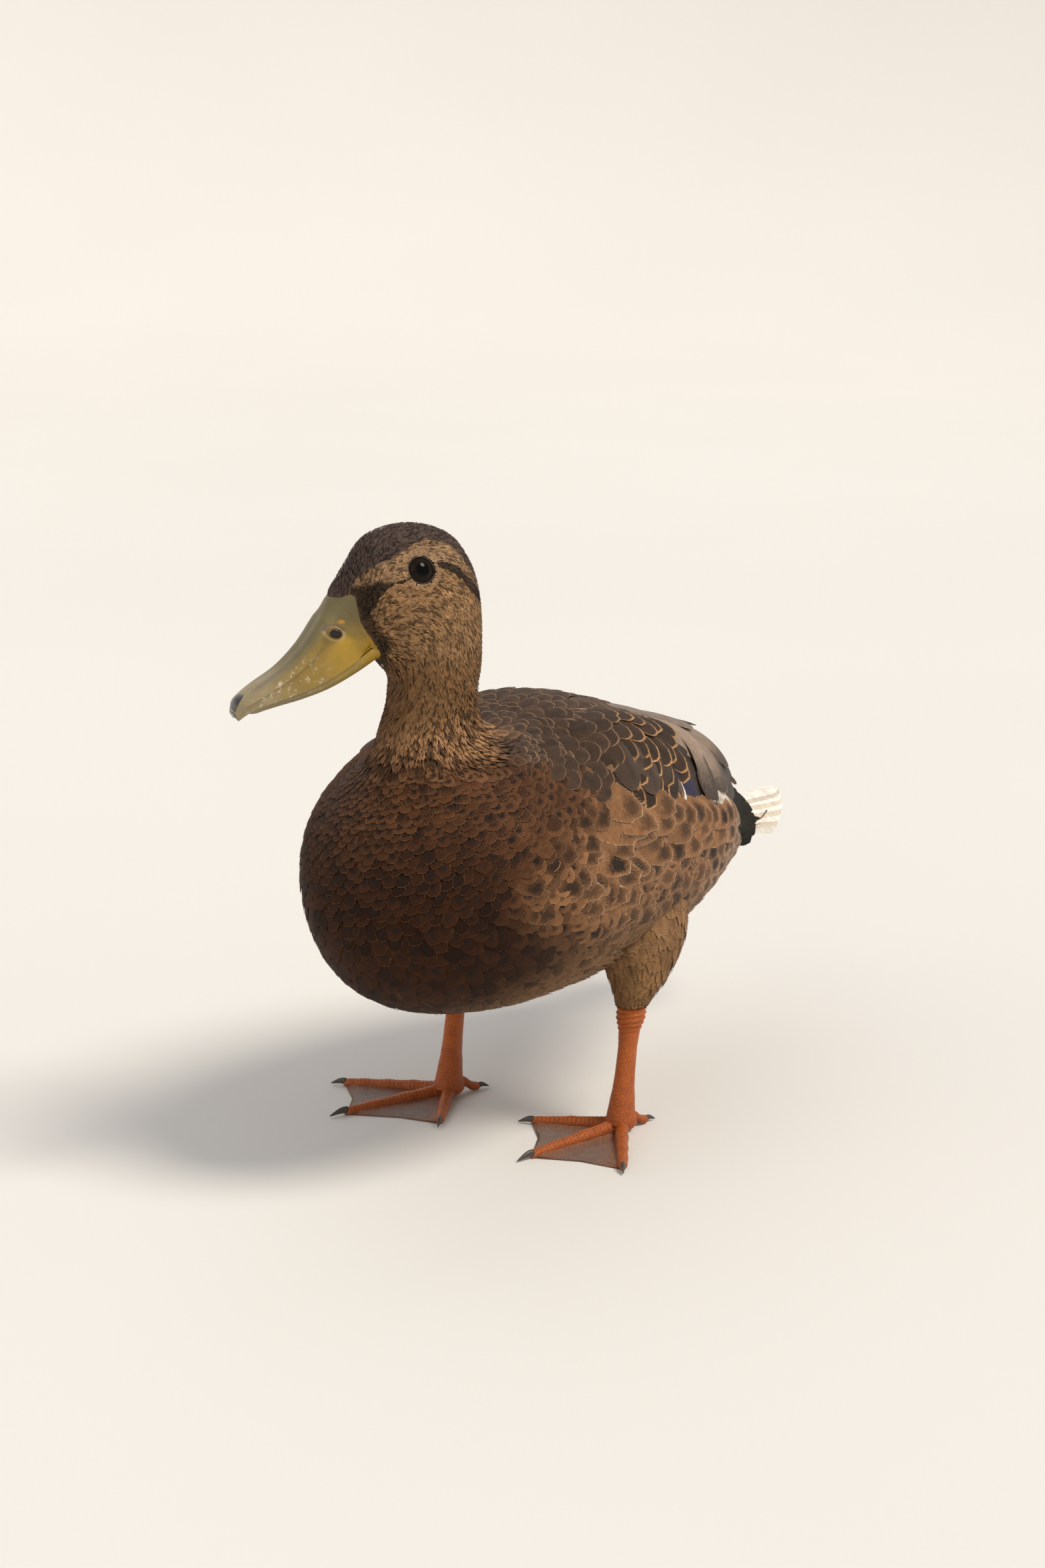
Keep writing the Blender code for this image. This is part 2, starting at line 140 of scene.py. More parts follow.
def unturned(t, around):
    """Forward, side and up on the outline before the head turns: ovals round the stations' middles."""
    back_f, back_z, low_f, low_z, half, pear = np.moveaxis(smooth(STATIONS, t), -1, 0)
    c, s = np.cos(around), np.sin(around)
    forward = (back_f + low_f) / 2 + (back_f - low_f) / 2 * c
    up = (back_z + low_z) / 2 + (back_z - low_z) / 2 * c
    return forward, half * s * (1 - pear * c), up


def outline(t, around, height=0.0):
    """The plumage's outline, moved out along its normal by height.

    t runs along the stations, and around is the angle from the back line.
    """
    t = np.clip(t, 0.0, LAST)

    def bare(t, around):
        return turned(*unturned(t, around), look_up(t, TURN_SHARE))

    step = 0.01
    along = bare(t + step, around) - bare(t - step, around)
    across = bare(t, around + step) - bare(t, around - step)
    out = np.cross(across, along)
    out = unit(out)
    return bare(t, around) + out * np.broadcast_to(height, np.shape(t))[..., None]


eye_low, eye_high = (np.array(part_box("eye_left")[i]) for i in (0, 1))
PLACE = (eye_low + eye_high) / 2 / MM - turned(*EYE)  # from these sizes to the model's place


def quads_between(rings, around, closed=True):
    """Corner numbers of the quads between neighbouring rings of a grid."""
    index = np.arange(rings * around).reshape(rings, around)
    beside = np.roll(index, -1, axis=1)
    if not closed:
        index, beside = index[:, :-1], beside[:, :-1]
    return np.stack([index[:-1], beside[:-1], beside[1:], index[1:]], axis=-1).reshape(-1, 4)


def shape(name, points, faces, finishes, smooth_angle=None):
    """One mesh object, from points in millimetres and arrays of faces with the same number of corners."""
    mesh = bpy.data.meshes.new(name)
    points = (np.asarray(points, float).reshape(-1, 3) + PLACE) * MM
    corners = np.concatenate([np.asarray(f).reshape(-1) for f in faces])
    sizes = np.concatenate([np.full(len(f), np.shape(f)[1]) for f in faces])
    mesh.vertices.add(len(points))
    mesh.vertices.foreach_set("co", points.ravel())
    mesh.loops.add(len(corners))
    mesh.loops.foreach_set("vertex_index", corners)
    mesh.polygons.add(len(sizes))
    mesh.polygons.foreach_set("loop_start", np.concatenate([[0], np.cumsum(sizes)[:-1]]))
    mesh.update(calc_edges=True)
    mesh.shade_smooth()
    if smooth_angle:
        mesh.set_sharp_from_angle(angle=math.radians(smooth_angle))
    for finish in finishes:
        mesh.materials.append(finish)
    obj = bpy.data.objects.new(name, mesh)
    bpy.context.scene.collection.objects.link(obj)
    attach(obj, "root")
    return obj


def paint(obj, name, values):
    """A value or a colour for each point, as an attribute."""
    values = np.asarray(values, np.float32)
    colour = values.ndim == 2
    made = obj.data.attributes.new(name, "FLOAT_COLOR" if colour else "FLOAT", "POINT")
    if colour and values.shape[1] == 3:
        values = np.concatenate([values, np.ones((len(values), 1), np.float32)], axis=1)
    made.data.foreach_set("color" if colour else "value", values.ravel())


# Plumage colours: tint of the vane, tint of its rim, strength of its dark spot, width of the rim
COLOURS = {
    "crown": ((0.085, 0.058, 0.050), (0.22, 0.15, 0.115), 0.75, 0.22),
    "brow": ((0.36, 0.215, 0.115), (0.46, 0.30, 0.17), 0.62, 0.25),
    "stripe": ((0.05, 0.030, 0.018), (0.12, 0.075, 0.042), 0.85, 0.15),
    "cheek": ((0.34, 0.192, 0.088), (0.44, 0.275, 0.138), 0.62, 0.25),
    "throat": ((0.17, 0.085, 0.034), (0.22, 0.12, 0.052), 0.35, 0.2),
    "neck": ((0.225, 0.114, 0.045), (0.36, 0.22, 0.115), 0.72, 0.3),
    "collar": ((0.36, 0.190, 0.088), (0.25, 0.135, 0.065), 0.7, 0.2),
    "breast": ((0.083, 0.032, 0.012), (0.165, 0.084, 0.042), 0.95, 0.22),
    # the keel's tint is partly its own darker colour and partly painted shade, for the shade low on the
    # breast
    "keel_painted_shade": ((0.029, 0.0090, 0.0025), (0.105, 0.047, 0.019), 0.85, 0.22),
    "flank": ((0.238, 0.114, 0.050), (0.46, 0.305, 0.195), 0.95, 0.36),
    "rear_flank": ((0.30, 0.188, 0.125), (0.52, 0.38, 0.27), 0.7, 0.36),
    "belly": ((0.20, 0.108, 0.050), (0.36, 0.22, 0.125), 0.6, 0.4),
    "mantle": ((0.074, 0.045, 0.031), (0.25, 0.152, 0.086), 0.35, 0.5),
    "rump": ((0.018, 0.018, 0.015), (0.05, 0.042, 0.03), 0.4, 0.4),
}
CROWN_EDGE = (  # forward and up of the cap's lower edge
    (44, 240), (52, 246), (56, 250), (60, 255), (66, 259.3), (74.5, 260.9), (81.5, 259.6), (86, 257),
    (92, 253.6), (98, 250.2), (104, 245), (108, 238),
)
STRIPE = (  # forward and up of the middle of the dark stripe through the eye
    (40, 231), (50, 238.5), (56, 244), (59.5, 247), (65, 250.6), (71, 252), (78, 250.5), (84, 247.3),
    (90, 245.2), (96, 242.5), (101, 236),
)
STRIPE_HALF = (  # forward, half the stripe's height there
    (44, 3.0), (56, 2.3), (66, 1.6), (72, 1.2), (79, 0.5), (90, 0.3), (94, 1.0), (97, 3.5), (101, 7.0),
)
GAPE, GAPE_REACH = (94, 219), (3.0, 6.0)  # forward, up of the dark patch at the mouth's corner, its size
NECK_END = ((50, 9.9), (90, 8.9), (130, 8.1), (180, 7.9))  # (degrees from the back line, station)


def markings(t, around):
    """Tint, rim tint, spot strength and rim width at a place: the named colours laid over each other."""
    neck_end = look_up(off_back(around), NECK_END)
    forward, side, up = unturned(np.clip(t, 0, LAST), around)
    angle = np.degrees(np.abs(np.arctan2(np.sin(around), np.cos(around))))
    # Shares of the tracts, as ramps over millimetres, stations or degrees from the back line
    head = 1 - ramp(t, 6.2, 7.6)
    cap = ramp(up - look_up(forward, CROWN_EDGE), -0.9, 0.9)
    nape = (1 - ramp(np.abs(side), 4, 11)) * (1 - ramp(forward, 50, 66))
    off = np.abs(up - look_up(forward, STRIPE)) / look_up(forward, STRIPE_HALF)
    stripe = (1 - ramp(off, 0.75, 1.25)) * (1 - cap)
    bill_edge = (1 - ramp(t, 0.55, 0.95)) * ramp(angle, 55, 70)
    gape_off = np.hypot((forward - GAPE[0]) / GAPE_REACH[0], (up - GAPE[1]) / GAPE_REACH[1])
    gape = 1 - ramp(gape_off, 0.6, 1.1)
    stripe = np.maximum(stripe, np.maximum(0.8 * bill_edge, 0.9 * gape))
    brow = ramp(up - look_up(forward, STRIPE), -1, 1) * (1 - cap)
    throat = ramp(angle, 118, 150) * ramp(t, 0.1, 0.6)
    low_cheek = 1 - ramp(up, 210, 221)
    back = (1 - ramp(angle, 50, 62)) * ramp(t, 9.0, 10.0)
    rump = ramp(t, 16.6, 17.3) * (1 - ramp(angle, 62, 88))
    chest = ramp(t - neck_end, -0.5, 0.35)
    # Keel: its darker tint is partly painted shade, laid low on the breast's sides and front
    keel_painted_shade = ramp(t, 8.8, 10.6) * ramp(angle, 94, 126)
    flank = ramp(t, 11.0, 12.2) * (1 - ramp(angle, 100, 126))
    rear = ramp(t, 14.9, 16.0)
    belly = ramp(t, 12.6, 14.4) * ramp(angle, 94, 118)
    layers = (
        ("cheek", np.ones_like(t)),
        ("brow", brow),
        ("throat", np.maximum(throat, 0.8 * low_cheek)),
        ("crown", np.maximum(cap, 0.55 * nape)),
        ("stripe", stripe),
        ("neck", 1 - head),
        ("collar", ramp(t - neck_end, -1.8, -0.8)),
        ("breast", chest),
        ("keel_painted_shade", keel_painted_shade),
        ("flank", flank),
        ("belly", belly),
        ("rear_flank", rear),
        ("mantle", back),
        ("rump", rump),
    )
    mixed = np.zeros(np.shape(t) + (8,))
    for name, share in layers:
        tint, rim, spot, width = COLOURS[name]
        mixed += (np.array([*tint, *rim, spot, width]) - mixed) * share[..., None]
    return mixed[..., :3], mixed[..., 3:6], mixed[..., 6], mixed[..., 7]


def add(tree, kind, values=(), **settings):
    """A shader node with its settings, and a value or a link for each named or numbered input."""
    made = tree.nodes.new("ShaderNode" + kind)
    for key, value in settings.items():
        setattr(made, key, value)
    for key, value in dict(values).items():
        if isinstance(value, bpy.types.NodeSocket):
            tree.links.new(value, made.inputs[key])
        else:
            made.inputs[key].default_value = value
    return made


def sums(tree, operation, *values, clamp=False):
    """One Math node, as its output."""
    return add(tree, "Math", enumerate(values), operation=operation, use_clamp=clamp).outputs[0]


def mix(tree, share, first, second, blend="MIX"):
    """A colour part of the way from first to second."""
    made = add(tree, "Mix", {0: share, 6: first, 7: second}, data_type="RGBA", blend_type=blend)
    return made.outputs[2]


def noise(tree, scale, detail, roughness=0.5, over=None):
    """Soft noise through the object's own metres, or over another vector."""
    over = over or add(tree, "TexCoord").outputs["Object"]
    values = {"Vector": over, "Scale": scale, "Detail": detail, "Roughness": roughness}
    return add(tree, "TexNoise", values).outputs["Fac"]


def attribute(tree, name):
    """The outputs of one of the mesh's own attributes."""
    return add(tree, "Attribute", attribute_name=name).outputs


def dress(tree, shader, colour, relief=None, strength=0.0, depth=0.0):
    """Gives the shader its colour, and bumps of that depth in metres where the relief is high."""
    tree.links.new(colour, shader.inputs["Base Color"])
    if relief is not None:
        bump = add(tree, "Bump", {"Height": relief, "Strength": strength, "Distance": depth})
        tree.links.new(bump.outputs[0], shader.inputs["Normal"])


def finish(name, roughness, specular=0.5, sheen=0.0, coat=0.0):
    """A material with its Principled shader's plain values set, as material, node tree and shader."""
    made = bpy.data.materials.new(name)
    made.use_nodes = True
    shader = made.node_tree.nodes["Principled BSDF"]
    shader.inputs["Roughness"].default_value = roughness
    shader.inputs["Specular IOR Level"].default_value = specular
    shader.inputs["Sheen Weight"].default_value = sheen
    shader.inputs["Sheen Roughness"].default_value = 0.5
    shader.inputs["Coat Weight"].default_value = coat
    shader.inputs["Coat Roughness"].default_value = 0.15
    return made, made.node_tree, shader


skin_finish, tree, shader = finish("down", 0.95, specular=0.2)
grain = noise(tree, 900.0, 4.0)
mottled = mix(tree, grain, (0.3, 0.3, 0.3, 1), (0.8, 0.8, 0.8, 1))
shaded = mix(tree, 1.0, attribute(tree, "tint")["Color"], mottled, "MULTIPLY")
dress(tree, shader, shaded, grain, 0.6, 0.0006)

COAT_DEPTH = (  # station, depth of the coat over the skin
    (0, 0.9), (2, 1.2), (6, 1.6), (9, 2.6), (11, 3.6), (17, 3.6), (20, 2.6), (21, 2.2),
)
SKIN_RINGS, SKIN_AROUND = 230, 180
THIGH = (  # up, side and forward from the ankle, half width, half depth
    (54.4, 0, 0, 6.6, 7.4),
    (58, 0, -2, 8.4, 9.6),
    (66, -1, -7, 12.5, 15),
    (80, -5, -15, 18, 24),
    (96, -11, -22, 19, 26),
    (112, -17, -26, 16, 23),
)
FEET = {  # where each foot's joint and ankle stand, the middle toe's turn and the side toes' angles from it
    "left": {"joint": (47, -3.5), "ankle": (47.5, -11), "turn": 16, "inner": -54, "outer": 47},
    "right": {"joint": (-40.5, -3.5), "ankle": (-42, -14), "turn": 27, "inner": 54, "outer": -46},
}

t, around = grid(np.linspace(0.0, LAST, SKIN_RINGS), circle(SKIN_AROUND))
body = outline(t, around, -look_up(t, COAT_DEPTH))
body_tint = markings(t, around)[0]


def thigh(side, share, angle, height=0.0):
    """A leg's feathered part: ovals through its rows, which move back and inwards as they rise."""
    up, out, ahead, half, deep = np.moveaxis(smooth(THIGH, share * (len(THIGH) - 1)), -1, 0)
    x, f = FEET[side]["ankle"]
    sign = SIDES[side]
    left = x + sign * out + sign * (half + height) * np.sin(angle)
    forward = f + ahead + (deep + height) * np.cos(angle)
    return np.stack([left, -forward, up], axis=-1)


def with_ends(rows):
    """A grid's values in one list, followed by the means of its first row and of its last."""
    return np.concatenate([rows.reshape(-1, rows.shape[-1]), rows[:1].mean(axis=1), rows[-1:].mean(axis=1)])


def capped(rings):
    """Points and faces of a closed tube through rings, its ends closed by a fan to their middle."""
    count, around = rings.shape[:2]
    first, last = np.arange(around), np.arange(around) + (count - 1) * around
    fans = [
        np.stack([np.roll(first, -1), first, np.full(around, count * around)], axis=-1),
        np.stack([last, np.roll(last, -1), np.full(around, count * around + 1)], axis=-1),
    ]
    return with_ends(rings), quads_between(count, around), np.concatenate(fans)


def joined(tubes):
    """Several closed tubes as one list of points, quads and triangles."""
    points, quads, triangles, start = [], [], [], 0
    for tube in tubes:
        points.append(tube[0])
        quads.append(tube[1] + start)
        triangles.append(tube[2] + start)
        start += len(tube[0])
    return np.concatenate(points), [np.concatenate(quads), np.concatenate(triangles)]


# Legs and feet: scaly orange skin over bone. Each shank is a narrow tube that swells at the ankle and
# the foot's joint, the toes are jointed tubes with a row of scutes on top, and two webs of thin grey
# skin join them. They are part of the one skin.
FOOT_TOP, ANKLE = 9.7, 54.0
SHANK = (  # share of its height, half width, half depth
    (0.0, 5.4, 6.6), (0.1, 5.0, 6.3), (0.2, 4.3, 5.8), (0.35, 3.9, 5.3), (0.6, 3.7, 5.0), (0.76, 4.3, 5.4),
    (0.88, 5.9, 6.4), (0.96, 6.1, 6.5), (1.0, 5.8, 6.3), (1.1, 5.2, 6.0),
)
TOES = {"inner": 39, "middle": 52, "outer": 49}
TOE_KNUCKLES = {"inner": (0.1, 0.56), "middle": (0.1, 0.42, 0.74), "outer": (0.1, 0.34, 0.58, 0.8)}
TOE_HALF, TOE_TOP = (3.0, 2.0), (6.2, 3.5)  # half width and height, at the joint and at the tip
WEB_REACH, WEB_SCALLOP = 0.985, 0.1  # share of the way to the line between two tips, depth of its curve
HALLUX_ROWS = (  # forward and up from the joint, radius
    (2, 8.2, 3.4), (-3, 7.0, 2.5), (-8, 4.8, 2.3), (-11, 2.6, 2.1), (-14.2, 1.9, 1.7), (-15, 1.8, 1.0),
)
KNUCKLE_SWELL = 0.13  # how much wider a toe is at its knuckles
TOE_PAD = 0.94  # a toe's end is rounded off from this share of its length
SCUTE, SCUTE_STEP = 1.9, 0.16  # length of one scute on a toe, and its height
TOE_BELLY = 0.42  # height of a toe's widest line, as a share of its own height
FLOOR_GAP = 0.02  # the soles stay this far over the floor


def between(first, second, share):
    """The first value moved that share of its way towards the second."""
    return np.asarray(first) + (np.asarray(second) - first) * share


def on_foot(points, side):
    """Points given as side, forward and up from a foot's joint, put in the duck's frame."""
    spec = FEET[side]
    turn = -math.radians(spec["turn"])
    x, forward, z = np.moveaxis(np.asarray(points, float), -1, 0)
    left = x * math.cos(turn) + forward * math.sin(turn)
    ahead = forward * math.cos(turn) - x * math.sin(turn)
    return np.stack([spec["joint"][0] + left, -(spec["joint"][1] + ahead), z], axis=-1)


def toe_angle(side, toe):
    """A toe's angle from the middle one."""
    return 0.0 if toe == "middle" else math.radians(FEET[side][toe])


def toe_tube(side, toe, rings=150, around=20):
    """A toe as ovals along a straight line: flat below, swollen at its knuckles, stepped by its scutes."""
    length, direction = TOES[toe], toe_angle(side, toe)
    share, angle = grid(np.linspace(0, 1, rings), circle(around))
    swell = 1 + KNUCKLE_SWELL * sum(np.exp(-(((share - k) / 0.05) ** 2)) for k in TOE_KNUCKLES[toe])
    end = np.sqrt(np.clip(1 - np.clip((share - TOE_PAD) / (1 - TOE_PAD), 0, 1) ** 2, 0.05, 1))
    half = between(*TOE_HALF, share) * swell * end
    tall = between(*TOE_TOP, share) * (0.5 + 0.5 * swell) * (0.4 + 0.6 * end)
    top = np.clip(np.cos(angle), 0, 1)
    saw = (share * length / SCUTE) % 1.0
    step = SCUTE_STEP * top**0.5 * (np.minimum(saw, 4 * (1 - saw)) - 0.5)
    across = (half + step) * np.sin(angle)
    belly = tall * TOE_BELLY
    upper, lower = belly + (tall - belly + step) * np.cos(angle), belly * (1 + np.cos(angle))
    rise = np.where(np.cos(angle) > 0, upper, lower)
    ahead = share * length
    x = ahead * math.sin(direction) + across * math.cos(direction)
    y = ahead * math.cos(direction) - across * math.sin(direction)
    return on_foot(np.stack([x, y, np.maximum(rise, FLOOR_GAP)], axis=-1), side)


def web_sheet(side, one, other, rings=36, across=31):
    """Skin between two toes: top and underside of a fan with a scalloped edge, sagging between the toes."""
    a, b = sorted((one, other), key=lambda toe: toe_angle(side, toe))
    start, end = toe_angle(side, a), toe_angle(side, b)
    first, second = TOES[a], TOES[b]
    share, w = grid(np.linspace(0.04, 1, rings), np.linspace(0, 1, across))
    span = end - start
    chord = first * second * math.sin(span) / (first * np.sin(w * span) + second * np.sin((1 - w) * span))
    reach = share * chord * WEB_REACH * (1 - WEB_SCALLOP * np.sin(math.pi * w))
    angle = start + w * span
    near = np.abs(2 * w - 1)
    folds = 0.12 * np.sin(share * 46 + 5 * np.sin(w * 9)) * np.sin(math.pi * w)
    rise = 0.95 + 2.2 * near**5 * (1 - 0.4 * share) + folds + 1.6 * (1 - share) ** 3
    rise *= 1 - 0.45 * ramp(share, 0.94, 1.0)
    x, y = reach * np.sin(angle), reach * np.cos(angle)
    top = np.stack([x, y, rise], axis=-1)
    under = np.stack([x, y, np.full_like(x, 0.12)], axis=-1)[:, ::-1]
    return on_foot(np.concatenate([top, under], axis=1), side)


def shank_tube(side, rings=110, around=40):
    """The bare leg: level ovals from the foot's joint to the ankle, rippled by its scales."""
    share, angle = grid(np.linspace(-0.12, 1.1, rings), circle(around))
    half, deep = (np.interp(share, *np.transpose(SHANK)[[0, i]]) for i in (1, 2))
    low = 1 - ramp(share, -0.12, 0.06)
    half, deep = half * (1 + 0.1 * low), deep * (1 + 0.1 * low)
    knob = 0.34 * np.sin(share * 130) * ramp(share, 0.72, 0.82) * (1 - ramp(share, 0.98, 1.05))
    front = np.clip(np.cos(angle), 0, 1) ** 2
    scutes = 0.14 * front * (((share * 20) % 1.0) - 0.5) * (1 - ramp(share, 0.75, 0.8))
    (x0, f0), (x1, f1) = FEET[side]["joint"], FEET[side]["ankle"]
    x = x0 + (x1 - x0) * share + (half + knob + scutes) * np.sin(angle)
    f = f0 + (f1 - f0) * share + (deep + knob + scutes) * np.cos(angle)
    z = FOOT_TOP + (ANKLE - FOOT_TOP) * share
    return np.stack([x, -f, z], axis=-1)


def hallux_tube(side, around=20, rings=40):
    """The small hind toe: a tube through its rows behind the foot's joint, flat on the floor."""
    places = np.linspace(0, len(HALLUX_ROWS) - 1.001, rings)
    forward, up, radius = np.moveaxis(smooth(HALLUX_ROWS, places), -1, 0)
    angle = circle(around)[None, :]
    x = -radius[:, None] * np.cos(angle)
    z = np.maximum(up[:, None] + radius[:, None] * np.sin(angle), FLOOR_GAP)
    return on_foot(np.stack(np.broadcast_arrays(x, forward[:, None], z), axis=-1), side)


def knob(side, rings=24, around=28):
    """The foot's joint: a rounded hump over a flat sole."""
    pole = 0.03
    tilt, angle = grid(np.linspace(pole, math.pi - pole, rings), circle(around))
    x, y = 6.4 * np.sin(tilt) * np.sin(angle), 6.9 * np.sin(tilt) * np.cos(angle)
    z = np.where(tilt < math.pi / 2, 4.2 + 7.2 * np.cos(tilt), 4.2 * (1 + np.cos(tilt)))
    return on_foot(np.stack([x, y, np.maximum(z, FLOOR_GAP)], axis=-1), side)[:, ::-1]


tubes, tints = [capped(body)], [with_ends(body_tint)]
for side in SIDES:
    share, angle = grid(np.linspace(0, 1, 24), circle(40))
    rings = thigh(side, share, angle, -1.6)
    tubes.append(capped(rings if side == "right" else rings[:, ::-1]))
    tints.append(np.tile(COLOURS["belly"][0], (len(tubes[-1][0]), 1)))
plumed_points = sum(len(tube[0]) for tube in tubes)

orange, floor_orange, web_grey = (0.45, 0.100, 0.006), (0.30, 0.058, 0.009), (0.205, 0.135, 0.098)
for side in SIDES:
    for toe in TOES:
        rings = toe_tube(side, toe)
        tubes.append(capped(rings))
        count, wide = rings.shape[:2]
        along, turns = grid(np.linspace(0, TOES[toe], count), np.linspace(0, 1, wide))
        facing_up = np.cos(turns * 2 * math.pi)
        crease = ((along / SCUTE) % 1.0 < 0.2) & (facing_up > 0.15)
        low = (1 - ramp(facing_up, -0.5, 0.25))[..., None]
        scaly = np.array(orange) * (1 - 0.45 * crease[..., None])
        tints.append(with_ends(between(scaly, web_grey, 0.55 * low)))
    for one, other in (("inner", "middle"), ("middle", "outer")):
        rings = web_sheet(side, one, other)
        tubes.append(capped(rings))
        count, wide = rings.shape[:2]
        w = np.concatenate([np.linspace(0, 1, wide // 2), np.linspace(1, 0, wide // 2)])[None, :]
        share = np.linspace(0, 1, count)[:, None]
        near = np.abs(2 * w - 1) ** 3.0 * (1 - 0.5 * share) + 0.75 * (1 - share) ** 2.5
        near = np.broadcast_to(np.clip(near, 0, 1), (count, wide))[..., None]
        tints.append(with_ends(between(web_grey, np.array(orange) * 0.9, near)))
    for rings in (shank_tube(side), hallux_tube(side), knob(side)):
        tubes.append(capped(rings))
        # Darker orange towards the floor on the shanks, hind toes and joints
        near_floor = 1 - ramp(tubes[-1][0][:, 2:], 3, 30)
        tints.append(between(orange, floor_orange, 0.35 * near_floor))

leg_finish, tree, shader = finish("leg_skin", 0.5, specular=0.45)
tint = attribute(tree, "tint")["Color"]
where = {"Vector": add(tree, "TexCoord").outputs["Object"], "Scale": 850.0, "Randomness": 0.8}
scales = add(tree, "TexVoronoi", where, feature="DISTANCE_TO_EDGE").outputs[0]
crease = sums(tree, "SUBTRACT", 1.0, sums(tree, "MULTIPLY", scales, 5.5, clamp=True), clamp=True)
mottle = sums(tree, "SUBTRACT", noise(tree, 260.0, 5.0), 0.42, clamp=True)
deeper = mix(tree, 1.0, tint, (0.42, 0.33, 0.3, 1), "MULTIPLY")
shaded = mix(tree, sums(tree, "MULTIPLY", crease, 0.4), tint, deeper)
duller = mix(tree, 1.0, shaded, (0.72, 0.66, 0.72, 1), "MULTIPLY")
shaded = mix(tree, sums(tree, "MULTIPLY", mottle, 2.2, clamp=True), shaded, duller)
relief = sums(tree, "SUBTRACT", sums(tree, "MULTIPLY", noise(tree, 2600.0, 3.0), 0.25), crease)
dress(tree, shader, shaded, relief, 0.5, 0.0003)

points, faces = joined(tubes)
skin = shape("skin", points, faces, [skin_finish, leg_finish])
paint(skin, "tint", np.concatenate(tints))
first_corner = np.concatenate([faces[0][:, 0], faces[1][:, 0]])
skin.data.polygons.foreach_set("material_index", (first_corner >= plumed_points).astype(np.int32))
limbs = [f"{part}_{side}" for part in ("wing", "thigh", "shank", "foot") for side in SIDES]
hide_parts("head", "neck", "trunk", "tail", *limbs)

# Eyes: dark wet balls, almost black brown, each seen through a round opening between two lids. The
# lids are a rolled rim of bare grey skin that hugs the ball and runs under the feathers.
EYE_RADIUS, OPENING = 7.0, 5.1
EYE_AXIS = (-0.09, 0.93, 0.35)  # forward, side, up: the way out of the head at the eye
EYE_SHIFT = (0.4, 0.0, -1.7)  # from the ball of the solid model to the one seen in its lids
LID_ROLL, LID_THICK = 0.28, 1.1
LID_SHARE = 0.45  # its roll's share of its rows
LID_SPREAD, LID_DROP = 2.6, 1.9  # how far the rest runs out and down
PUPIL = 0.42  # angle from the eye's axis to the pupil's edge

EYE_OUT = unit(np.array(EYE_AXIS))
EYE_AHEAD = unit(np.array([1.0, 0.0, 0.0]) - EYE_OUT[0] * EYE_OUT)
EYE_UP = np.cross(EYE_AHEAD, EYE_OUT)
EYE_BALL = np.array(EYE) + EYE_SHIFT


def solid(name, rings, finish_used, sharp=None):
    """A closed tube through rings as one piece of one finish."""
    points, quads, fans = capped(rings)
    return shape(name, points, [quads, fans], [finish_used], sharp)


def facing(side, points):
    """Points given as forward, up and out along an eye's own axes, put in the turned head."""
    forward, out, up = np.moveaxis(EYE_BALL + points @ np.stack([EYE_AHEAD, EYE_UP, EYE_OUT]), -1, 0)
    return turned(forward, SIDES[side] * out, up)


def lid_line(angle, radius):
    """Distance of a lid's rim from the eye's axis: round, drawn out to a corner in front and behind."""

    def corner(degrees, width):
        away = (angle - math.radians(degrees) + math.pi) % (2 * math.pi) - math.pi
        return np.exp(-((away / width) ** 2))

    return radius * (1 + 0.10 * corner(195, 0.28) + 0.03 * corner(8, 0.3))


eye_finish, tree, shader = finish("eye", 0.06, specular=0.4)
shader.inputs["IOR"].default_value = 1.22
iris = mix(tree, noise(tree, 900.0, 4.0), (0.008, 0.005, 0.003, 1), (0.018, 0.010, 0.006, 1))
dress(tree, shader, mix(tree, attribute(tree, "rim")["Fac"], iris, (0.002, 0.002, 0.002, 1)))
lid_finish, tree, shader = finish("lid", 0.6, specular=0.4)
folds = noise(tree, 1800.0, 3.0)
dress(tree, shader, mix(tree, folds, (0.020, 0.014, 0.011, 1), (0.06, 0.042, 0.03, 1)), folds, 0.5, 0.0002)
for side in SIDES:
    tilt, angle = grid(np.linspace(0.02, math.pi - 0.02, 48), circle(64))
    level = np.sin(tilt)
    ball = EYE_RADIUS * np.stack([level * np.cos(angle), level * np.sin(angle), np.cos(tilt)], axis=-1)
    rings = facing(side, ball)
    eye = solid(f"eyeball_{side}", rings if side == "right" else rings[:, ::-1], eye_finish)
    paint(eye, "rim", np.concatenate([1 - ramp(tilt.ravel(), PUPIL - 0.02, PUPIL + 0.02), [1, 0]]))
    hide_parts(f"eye_{side}")

    turn, angle = grid(np.linspace(0, 1, 22), circle(72))
    roll = np.clip(turn / LID_SHARE, 0, 1) * math.pi
    inner = lid_line(angle, OPENING)
    spread = np.clip((turn - LID_SHARE) / (1 - LID_SHARE), 0, 1)
    radius = inner + LID_ROLL * (1 - np.cos(roll)) + LID_SPREAD * spread
    on_ball = np.sqrt(EYE_RADIUS**2 - np.minimum(inner, 6.6) ** 2)
    lift = on_ball + LID_ROLL * (0.2 + np.sin(roll)) - LID_DROP * spread**1.2
    ring = np.stack([radius * np.cos(angle), radius * np.sin(angle), lift], axis=-1)
    tube = np.concatenate([ring, (ring - (0, 0, LID_THICK))[::-1]], axis=0)
    count, wide = tube.shape[:2]
    index = np.arange(count * wide).reshape(count, wide)
    down, beside = np.roll(index, -1, axis=0), np.roll(index, -1, axis=1)
    quads = np.stack([index, beside, np.roll(beside, -1, axis=0), down], axis=-1).reshape(-1, 4)
    quads = quads if side == "left" else quads[:, ::-1]
    lid = shape(f"lid_{side}", facing(side, tube), [quads], [lid_finish])

